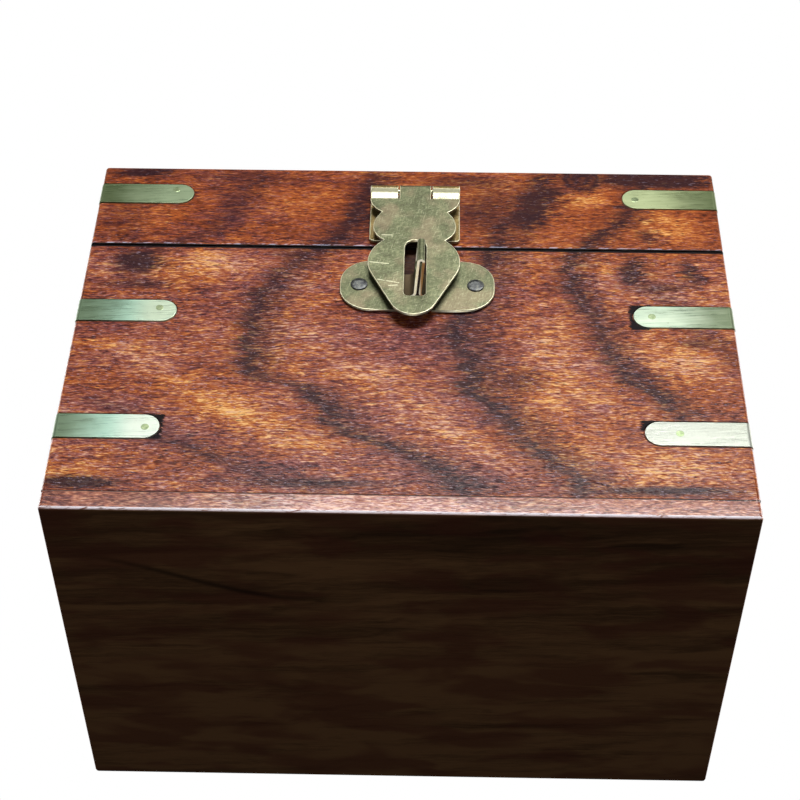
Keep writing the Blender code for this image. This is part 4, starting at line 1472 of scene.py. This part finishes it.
@dataclass
class Carcase:
    """The wooden boards of the body and the lid, with the glue in their joints."""

    front: Tuple[str, ...] = ("front_board", "lid_front_rail")
    long: Tuple[str, ...] = ("back_board", "lid_back_rail", "lid_top_board")
    sides: Tuple[str, ...] = ("left_board", "right_board", "lid_left_rail", "lid_right_rail")
    base: Tuple[str, ...] = ("base_board",)
    arris: float = 0.0003
    shortest: float = 0.002
    glue_setback: float = 0.00012

    def build(self) -> None:
        """Ease and finish every board, then fill the joints."""
        long, across = Grain.ALONG_X, Grain.ALONG_Y
        base = Sheesham("base_sheesham", long, Figure.FAINT, BASE_WARM, BASE_COOL, 0.5, 211.0)
        boards = (
            (self.front, "sheesham", Sheesham("front_sheesham", long, Figure.FRONT)),
            (self.long, "sheesham", Sheesham("long_sheesham", long, Figure.RINGS, shift=83.0)),
            (self.sides, "sheesham", Sheesham("side_sheesham", across, Figure.RINGS, shift=141.0)),
            (self.base, "sheesham_base", base),
        )
        for names, slot, finish in boards:
            material = finish.material()
            for name in names:
                board = Bench.copy_of(name, f"{name}_eased")
                Bench.ease(board, self.arris, test=self.long_enough)
                hand_over(board, body_of(name), (name,), material)
        self.glue()

    def long_enough(self, edge: bmesh.types.BMEdge) -> bool:
        """Take the edges that are long enough to be eased."""
        return edge.calc_length() >= self.shortest

    def glue(self) -> None:
        """Fill the joints under the walls, at the corners and round the top board."""
        material = GlueLine().material()
        low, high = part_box("base_board")
        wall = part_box("front_board")
        ring = self.ring("base_glue", low.xy, high.xy, high.z, wall[0].z, WALL / MILLIMETRES)
        hand_over(ring, "box", finish=material)
        self.corner_glue("box", "front_board", "right_board", "body", material)
        self.corner_glue("lid", "lid_front_rail", "lid_right_rail", "lid", material)
        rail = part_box("lid_right_rail")
        low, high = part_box("lid_top_board")
        reach = Vector((rail[0].x, -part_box("lid_front_rail")[1].y))
        ring = self.ring("top_glue", -reach, reach, low.z, high.z, rail[0].x - high.x, 0.0)
        hand_over(ring, "lid", finish=material)

    def corner_glue(
        self, body: str, front: str, side: str, suffix: str, material: bpy.types.Material
    ) -> None:
        """Fill the four upright joints of the body or the lid.

        Args:
            body: the body they move with.
            front: the front wall's node.
            side: the right wall's node.
            suffix: ends the pieces' names.
            material: the glue.
        """
        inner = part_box(front)[1].y
        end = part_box(side)[0]
        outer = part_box(side)[1]
        back = self.glue_setback
        model = self.slab(
            Vector((end.x + back, inner, end.z + back)),
            Vector((outer.x - back, end.y, outer.z - back)),
        )
        half_turn = Matrix.Rotation(math.pi, 4, "Z")
        across = Matrix.Translation((0, -inner - end.y, 0))
        for name, turn in (
            ("front_right", Matrix()),
            ("front_left", half_turn @ across),
            ("back_left", half_turn),
            ("back_right", across),
        ):
            strip = Bench.place(model, f"glue_{suffix}_{name}", turn)
            hand_over(strip, body, finish=material)
        Bench.drop(model)

    @staticmethod
    def slab(low: Vector, high: Vector) -> bpy.types.Object:
        """Model a thin strip of glue whose long edges are pinched in.

        Args:
            low: its lowest corner.
            high: its highest.

        Returns:
            The strip.
        """
        size = high - low
        bpy.ops.object.select_all(action="DESELECT")
        bpy.ops.mesh.primitive_cube_add(size=1.0, location=(low + high) / 2, scale=size)
        strip = bpy.context.active_object
        bpy.ops.object.transform_apply(location=True, rotation=True, scale=True)
        Bench.edit(strip)
        Bench.pick(strip, Part.FACE, lambda face: abs(face.normal.x) > Bench.facing)
        bpy.ops.mesh.inset(thickness=size.y * 0.25, depth=-size.y * 0.2, use_individual=True)
        bpy.ops.object.mode_set(mode="OBJECT")
        return strip

    def ring(
        self,
        name: str,
        low: Vector,
        high: Vector,
        bottom: float,
        top: float,
        width: float,
        side_setback: Optional[float] = None,
    ) -> bpy.types.Object:
        """Model a flat ring of glue.

        Args:
            name: its name.
            low: the outline's lowest x and y.
            high: its highest.
            bottom: its lower face.
            top: its upper face.
            width: how far it reaches inwards.
            side_setback: how far it stays behind the outline, if not the usual.

        Returns:
            The ring.
        """
        back = self.glue_setback if side_setback is None else side_setback
        drop = self.glue_setback if side_setback is not None else 0.0
        size = (high - low) - Vector((2 * back, 2 * back))
        middle = (low + high) / 2
        bpy.ops.object.select_all(action="DESELECT")
        bpy.ops.mesh.primitive_plane_add(size=1.0, location=(middle.x, middle.y, bottom))
        ring = bpy.context.active_object
        ring.name = name
        ring.scale = (size.x, size.y, 1.0)
        bpy.ops.object.transform_apply(location=True, rotation=True, scale=True)
        Bench.edit(ring)
        bpy.ops.mesh.select_all(action="SELECT")
        bpy.ops.mesh.inset(thickness=width - back)
        bpy.ops.mesh.delete(type="FACE")
        bpy.ops.mesh.select_all(action="SELECT")
        height = top - bottom - drop
        bpy.ops.mesh.extrude_region_move(TRANSFORM_OT_translate={"value": (0, 0, height)})
        bpy.ops.mesh.select_all(action="SELECT")
        bpy.ops.mesh.normals_make_consistent(inside=False)
        bpy.ops.object.mode_set(mode="OBJECT")
        return ring


@dataclass
class CornerStraps:
    """Twelve folded straps with a flush pin at each end."""

    arris: float = 0.0001
    planed: float = 0.00002
    outward: float = 0.98
    pin_sides: int = 24
    pin_radius: float = 0.0009
    pin_height: float = 0.0004
    pin_from_end: float = 0.0042
    pin_rings: Point = (0.07, 0.4)
    pin_sink: float = 0.9
    front_pins: Dict[str, Point] = field(
        default_factory=lambda: {
            "lid_strap_front_left": (-0.0573, 0.1036),
            "upper_strap_front_left": (-0.0569, 0.0612),
            "lower_strap_front_left": (-0.0560, 0.0236),
            "lid_strap_front_right": (0.0560, 0.1018),
            "upper_strap_front_right": (0.0571, 0.0603),
            "lower_strap_front_right": (0.0605, 0.0238),
        }
    )

    def build(self) -> None:
        """Ease the straps and pin them."""
        brass = StrapBrass().material()
        pin_brass = WornBrass("pin_brass", PIN_TONES, 0.3, rosy=0.0, metal=0.7, relief=0.03)
        pin_finish = pin_brass.material()
        pin = self.pin()
        for node in [name for name in frame["nodes"] if "_strap_" in name]:
            body = body_of(node)
            strap = Bench.copy_of(node, f"{node}_eased")
            self.plane(strap)
            Bench.ease(strap, self.arris)
            hand_over(strap, body, (node,), brass)
            for leg, where in self.pin_places(node):
                piece = Bench.place(pin, f"{node}_pin_{leg}", where)
                hand_over(piece, body, finish=pin_finish)
        Bench.drop(pin)

    def plane(self, strap: bpy.types.Object) -> None:
        """Take a shaving off a strap's outer faces, so that the pins stand proud of them.

        Args:
            strap: the strap, in its place on the box.
        """
        corners = strap.data.vertices
        middle = sum((corner.co for corner in corners), Vector()) / len(corners)
        for axis in (0, 1):
            way = math.copysign(1.0, middle[axis])
            Bench.edit(strap)
            Bench.pick(strap, Part.FACE, lambda face: face.normal[axis] * way > self.outward)
            shift = [0.0, 0.0, 0.0]
            shift[axis] = -way * self.planed
            bpy.ops.transform.translate(value=shift)
            bpy.ops.object.mode_set(mode="OBJECT")

    def pin(self) -> bpy.types.Object:
        """Model a pin that faces up, with a filed round head.

        Returns:
            The pin, with its face at the origin.
        """
        pin = Bench.stud(self.pin_sides, self.pin_radius, self.pin_height)
        Bench.pick(pin, Part.FACE, lambda face: face.normal.z > Bench.facing)
        for ring in self.pin_rings:
            bpy.ops.mesh.inset(thickness=self.pin_radius * ring)
        Bench.pick(pin, Part.EDGE, lambda edge: on_rim(edge, self.pin_radius))
        bpy.ops.transform.translate(value=(0, 0, -self.planed * self.pin_sink))
        bpy.ops.object.mode_set(mode="OBJECT")
        return pin

    def pin_places(self, node: str) -> List[Tuple[str, Matrix]]:
        """Find where a strap's two pins go.

        Args:
            node: the strap's node.

        Returns:
            The leg's name and the pin's place on it.
        """
        low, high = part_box(node)
        side = 1 if high.x > -low.x else -1
        end = 1 if high.y > -low.y else -1
        inner_x, outer_x = (low.x, high.x)[::side]
        inner_y, outer_y = (low.y, high.y)[::end]
        rise = (low.z + high.z) / 2
        x, z = self.front_pins.get(node, (inner_x + side * self.pin_from_end, rise))
        y = inner_y + end * self.pin_from_end
        faces_y = Matrix.Rotation(-end * math.pi / 2, 4, "X")
        faces_x = Matrix.Rotation(side * math.pi / 2, 4, "Y")
        return [
            ("long", Matrix.Translation((x, outer_y, z)) @ faces_y),
            ("side", Matrix.Translation((outer_x, y, rise)) @ faces_x),
        ]


@dataclass
class Hasp:
    """The leaf, flap and staple in worn brass, and the four nails that hold them."""

    arris: float = 0.00022
    head_sides: int = 32
    head_radius: float = 0.002
    head_height: float = 0.0003
    head_sink: float = 0.0005
    dome: float = 0.6
    dome_profile: float = 0.55
    crown: float = 0.3
    shank_radius: float = 0.0006
    shank_straight: float = 0.75
    hem_height: float = 0.096
    hem_facing: float = 0.8
    hem_lean: Point = (0.2, 0.5)
    cut_facing: float = 0.6
    ridge_middle: float = 0.0019
    ridge_reach: float = 0.0045
    seam_height: float = 0.0831

    def build(self) -> None:
        """Ease the brass and drive the nails."""
        rim = WornBrass("hasp_rim", RIM_TONES, 0.36, rosy=0.0, metal=0.6).material()
        hem = WornBrass(
            "hem_brass",
            RIM_TONES,
            0.28,
            rosy=0.0,
            metal=0.9,
            painted_shade_zone=HEM_SHADE_ZONE,
            painted_shade_colour=(46, 46, 32),
        ).material()
        cut = WornBrass(
            "cut_brass",
            CUT_TONES,
            0.4,
            rosy=0.0,
            metal=0.7,
            painted_shade_zone=CUT_SHADE_ZONE,
            painted_shade_colour=(206, 138, 56),
            slant=CUT_SLANT,
        ).material()
        finishes = {
            "hasp_leaf": WornBrass("leaf_brass", LEAF_TONES, 0.36, rosy=0.1),
            "hasp_flap": WornBrass("flap_brass", HASP_TONES, 0.46, FLAP_SCRATCHES),
            "staple_plate": WornBrass(
                "staple_brass", HASP_TONES, 0.46, painted_shade_zone=STAPLE_SHADOW_ZONE, painted_shade_colour=(70, 50, 24)
            ),
        }
        for node, finish in finishes.items():
            sheet = Bench.copy_of(node, f"{node}_eased")
            dress(sheet, finish.material(), rim, hem, cut)
            test = self.off_ridge if node == "staple_plate" else None
            Bench.ease(sheet, self.arris, segments=3, rim_slot=1, test=test)
            self.polish(sheet, hem_slot=2, cut_slot=3)
            hand_over(sheet, body_of(node), (node,))
        dress(frame["nodes"]["hasp_pin"], rim)
        steel = NailSteel().material()
        for node in [name for name in frame["nodes"] if "_nail_" in name]:
            self.nail(node, steel)

    def off_ridge(self, edge: bmesh.types.BMEdge) -> bool:
        """Take the edges of the staple's lugs, but not those of its folded ridge."""
        return all(abs(vertex.co.x - self.ridge_middle) > self.ridge_reach for vertex in edge.verts)

    def polish(self, sheet: bpy.types.Object, hem_slot: int, cut_slot: int) -> None:
        """Give the cut edges that look down and the leaning hems of the knuckles a brighter finish,
        which is partly painted highlight.

        Args:
            sheet: a piece of sheet brass in its place on the box.
            hem_slot: the material slot of the hems.
            cut_slot: the material slot of the cut edges.
        """
        for face in sheet.data.polygons:
            out, down = -face.normal.y, -face.normal.z
            leans = out > self.hem_facing and self.hem_lean[0] < down < self.hem_lean[1]
            if leans and face.center.z > self.hem_height:
                face.material_index = hem_slot
            looks_down = down > self.cut_facing and abs(out) < self.cut_facing
            if looks_down and face.center.z < self.seam_height:
                face.material_index = cut_slot

    def nail(self, node: str, steel: bpy.types.Material) -> None:
        """Model a nail with a low domed head and seat it on the sheet.

        Args:
            node: the CAD nail that it stands for.
            steel: its finish.
        """
        low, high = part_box(node)
        nail = Bench.stud(self.head_sides, self.head_radius, self.head_height)
        nail.name = f"{node}_domed"
        Bench.pick(nail, Part.FACE, lambda face: face.normal.z < -Bench.facing)
        bpy.ops.mesh.inset(thickness=self.head_radius - self.shank_radius)
        Bench.shank(high.y - low.y - self.head_sink - self.head_height, self.shank_straight)
        Bench.pick(nail, Part.EDGE, lambda edge: on_rim(edge, self.head_radius))
        dome = self.head_height * self.dome
        bpy.ops.mesh.bevel(offset=dome, segments=4, profile=self.dome_profile)
        Bench.pick(nail, Part.FACE, lambda face: face.normal.z > Bench.level)
        bpy.ops.mesh.inset(thickness=self.head_radius * self.crown, depth=0.0)
        bpy.ops.object.mode_set(mode="OBJECT")
        middle = (low + high) / 2
        seat = Matrix.Translation((middle.x, low.y + self.head_sink, middle.z))
        nail.data.transform(seat @ Matrix.Rotation(math.pi / 2, 4, "X"))
        Bench.smooth(nail)
        hand_over(nail, body_of(node), (node,), steel)


@dataclass
class ButtHinges:
    """The two hinges at the back, held by slotted screws."""

    arris: float = 0.00012
    head_sides: int = 28
    head_radius: float = 0.0012
    head_height: float = 0.00045
    rounding: float = 0.2
    shank_radius: float = 0.0006
    shank_straight: float = 0.7
    slot_width: float = 0.00035
    slot_depth: float = 0.0003
    first_turn: float = 35.0
    next_turn: float = 62.0

    def build(self) -> None:
        """Ease the leaves, finish the pins and drive the screws."""
        brass = WornBrass("hinge_brass", HINGE_TONES, 0.36, metal=0.85).material()
        names = [name for name in frame["nodes"] if name.startswith("hinge_")]
        for node in [name for name in names if name.endswith("_leaf")]:
            leaf = Bench.copy_of(node, f"{node}_eased")
            Bench.ease(leaf, self.arris)
            hand_over(leaf, body_of(node), (node,), brass)
        for node in [name for name in names if name.endswith("_pin")]:
            dress(frame["nodes"][node], brass)
        screws = [name for name in names if "_screw_" in name]
        low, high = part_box(screws[0])
        model = self.screw(high.z - low.z)
        for number, node in enumerate(screws):
            low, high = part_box(node)
            middle = (low + high) / 2
            up = body_of(node) == "box"
            flip = Matrix() if up else Matrix.Rotation(math.pi, 4, "X")
            angle = math.radians(self.first_turn + self.next_turn * number)
            seat = Matrix.Translation((middle.x, middle.y, high.z if up else low.z))
            where = seat @ flip @ Matrix.Rotation(angle, 4, "Z")
            screw = Bench.place(model, f"{node}_slotted", where)
            hand_over(screw, body_of(node), (node,), brass)
        Bench.drop(model)

    def screw(self, length: float) -> bpy.types.Object:
        """Model a countersunk screw that points down, with a slot across its head.

        Args:
            length: from the head's face to the point.

        Returns:
            The screw, with its face at the origin.
        """
        screw = Bench.stud(self.head_sides, self.head_radius, self.head_height)
        Bench.pick(screw, Part.FACE, lambda face: face.normal.z < -Bench.facing)
        slim = self.shank_radius / self.head_radius
        bpy.ops.transform.resize(value=(slim, slim, 1.0))
        Bench.shank(length - self.head_height, self.shank_straight)
        Bench.pick(screw, Part.EDGE, lambda edge: on_rim(edge, self.head_radius))
        bpy.ops.mesh.bevel(offset=self.head_height * self.rounding, segments=2)
        bpy.ops.object.mode_set(mode="OBJECT")
        bpy.ops.object.select_all(action="DESELECT")
        slot = (3 * self.head_radius, self.slot_width, 2 * self.slot_depth)
        bpy.ops.mesh.primitive_cube_add(size=1.0, scale=slot)
        cutter = bpy.context.active_object
        modifier = screw.modifiers.new("slot", "BOOLEAN")
        modifier.operation = "DIFFERENCE"
        modifier.solver = "EXACT"
        modifier.object = cutter
        Bench.take(screw)
        bpy.ops.object.modifier_apply(modifier=modifier.name)
        Bench.drop(cutter)
        Bench.smooth(screw)
        return screw


@dataclass(frozen=True)
class Lamp:
    """A soft rectangular light, placed by degrees above the box and to the right of its front."""

    name: str
    elevation: float
    azimuth: float
    size: Point
    power: float


@dataclass
class Stage:
    """Floor, light and camera."""

    floor_drop: float = 0.0003
    floor_size: float = 1.6
    floor_fade: Point = (220.0, 620.0)
    floor_tints: Tuple[Shade, Shade] = ((206, 206, 204), (218, 218, 217))
    target: Triple = (0.0, -0.051, 0.056)
    lamp_distance: float = 0.9
    lamps: Tuple[Lamp, ...] = (
        Lamp("key", 27.0, 7.5, (0.62, 0.24), 10.0),
        Lamp("fill", -42.0, 0.0, (0.34, 0.34), 1.1),
        Lamp("back", 42.0, 180.0, (0.7, 0.7), 8.5),
        Lamp("left", 30.0, -105.0, (0.5, 0.5), 7.0),
        Lamp("right", 30.0, 105.0, (0.5, 0.5), 7.0),
    )
    sky: Shade = (66, 68, 68)
    ground: Shade = (32, 30, 29)
    lens: float = 82.612
    sensor: float = 36.0
    clip: float = 0.01
    eye: Triple = (0.0052288, -0.3455774, -0.2463810)
    right: Triple = (0.999801, 0.000700, 0.019920)
    up: Triple = (-0.013976, -0.687969, 0.725606)
    forward: Triple = (-0.014212, 0.725740, 0.687822)

    def build(self) -> None:
        """Set everything up."""
        self.floor()
        self.world()
        for lamp in self.lamps:
            self.hang(lamp)
        self.camera()

    def floor(self) -> None:
        """Lay a pale floor that shows from above only and fades out into the white."""
        bpy.ops.object.select_all(action="DESELECT")
        bpy.ops.mesh.primitive_plane_add(size=self.floor_size, location=(0, 0, -self.floor_drop))
        floor = bpy.context.active_object
        floor.name = "floor"
        sheet = NodeSheet.for_material("pale_floor")
        at = Place(sheet)
        speckle = sheet.noise(at.stretched((0.02, 0.02, 0.02)), 3.0, 0.5)
        colour = sheet.mix(speckle, *(shade(tint) for tint in self.floor_tints))
        paint = sheet.node("ShaderNodeBsdfDiffuse", None, {"Color": colour})
        clear = sheet.node("ShaderNodeBsdfTransparent")
        behind = Signal(sheet, sheet.node("ShaderNodeNewGeometry").outputs["Backfacing"])
        gone = behind.most((at.x * at.x + at.y * at.y).root().rise(*self.floor_fade))
        shaders = {0: gone, 1: paint.outputs[0], 2: clear.outputs[0]}
        mixed = sheet.node("ShaderNodeMixShader", None, shaders)
        sheet.node("ShaderNodeOutputMaterial", None, {"Surface": mixed.outputs[0]})
        dress(floor, sheet.owner)
        floor.visible_shadow = False
        floor.visible_diffuse = False
        floor.visible_glossy = False

    def world(self) -> None:
        """Surround the box with white to the eye, and to everything else a room dark below."""
        world = bpy.data.worlds.new("studio")
        sheet = NodeSheet(world)
        seen = sheet.node("ShaderNodeLightPath").outputs["Is Camera Ray"]
        white = sheet.node("ShaderNodeBackground", None, {"Color": (1.0, 1.0, 1.0, 1.0)})
        direction = sheet.node("ShaderNodeTexCoord").outputs["Generated"]
        height = Signal(sheet, sheet.node("ShaderNodeSeparateXYZ", None, {0: direction}).outputs[2])
        colour = sheet.mix(height.rise(-0.1, 0.3), shade(self.ground), shade(self.sky))
        room = sheet.node("ShaderNodeBackground", None, {"Color": colour})
        shaders = {0: seen, 1: room.outputs[0], 2: white.outputs[0]}
        mixed = sheet.node("ShaderNodeMixShader", None, shaders)
        sheet.node("ShaderNodeOutputWorld", None, {"Surface": mixed.outputs[0]})
        bpy.context.scene.world = world

    def hang(self, lamp: Lamp) -> None:
        """Hang a lamp so that it faces the box.

        Args:
            lamp: the lamp.
        """
        rise = math.radians(lamp.elevation)
        turn = math.radians(lamp.azimuth)
        level = math.cos(rise)
        way = Vector((math.sin(turn) * level, -math.cos(turn) * level, math.sin(rise)))
        target = Vector(self.target)
        data = bpy.data.lights.new(lamp.name, "AREA")
        data.shape = "RECTANGLE"
        data.size, data.size_y = lamp.size
        data.energy = lamp.power
        light = bpy.data.objects.new(lamp.name, data)
        light.location = target + way * self.lamp_distance
        light.rotation_mode = "QUATERNION"
        light.rotation_quaternion = (-way).to_track_quat("-Z", "Y")
        light.visible_camera = False
        bpy.context.scene.collection.objects.link(light)

    def camera(self) -> None:
        """Look at the box as the photograph does."""
        data = bpy.data.cameras.new("camera")
        data.lens = self.lens
        data.sensor_width = self.sensor
        data.clip_start = self.clip
        camera = bpy.data.objects.new("camera", data)
        axes = Matrix((self.right, self.up, [-part for part in self.forward])).transposed()
        camera.matrix_world = Matrix.Translation(self.eye) @ axes.to_4x4()
        bpy.context.scene.collection.objects.link(camera)
        bpy.context.scene.camera = camera
        bpy.context.scene.view_settings.view_transform = "Standard"


def corners(bounds: Tuple[Vector, Vector]) -> List[List[float]]:
    """Turn a box into plain lists of numbers."""
    return [list(corner) for corner in bounds]


def main() -> None:
    """Build and dress the box, then set the stage."""
    logging.basicConfig(level=logging.INFO, format="%(message)s")
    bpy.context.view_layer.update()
    for assembly in (Carcase(), CornerStraps(), Hasp(), ButtHinges(), Stage()):
        assembly.build()


if __name__ == "__main__":
    main()
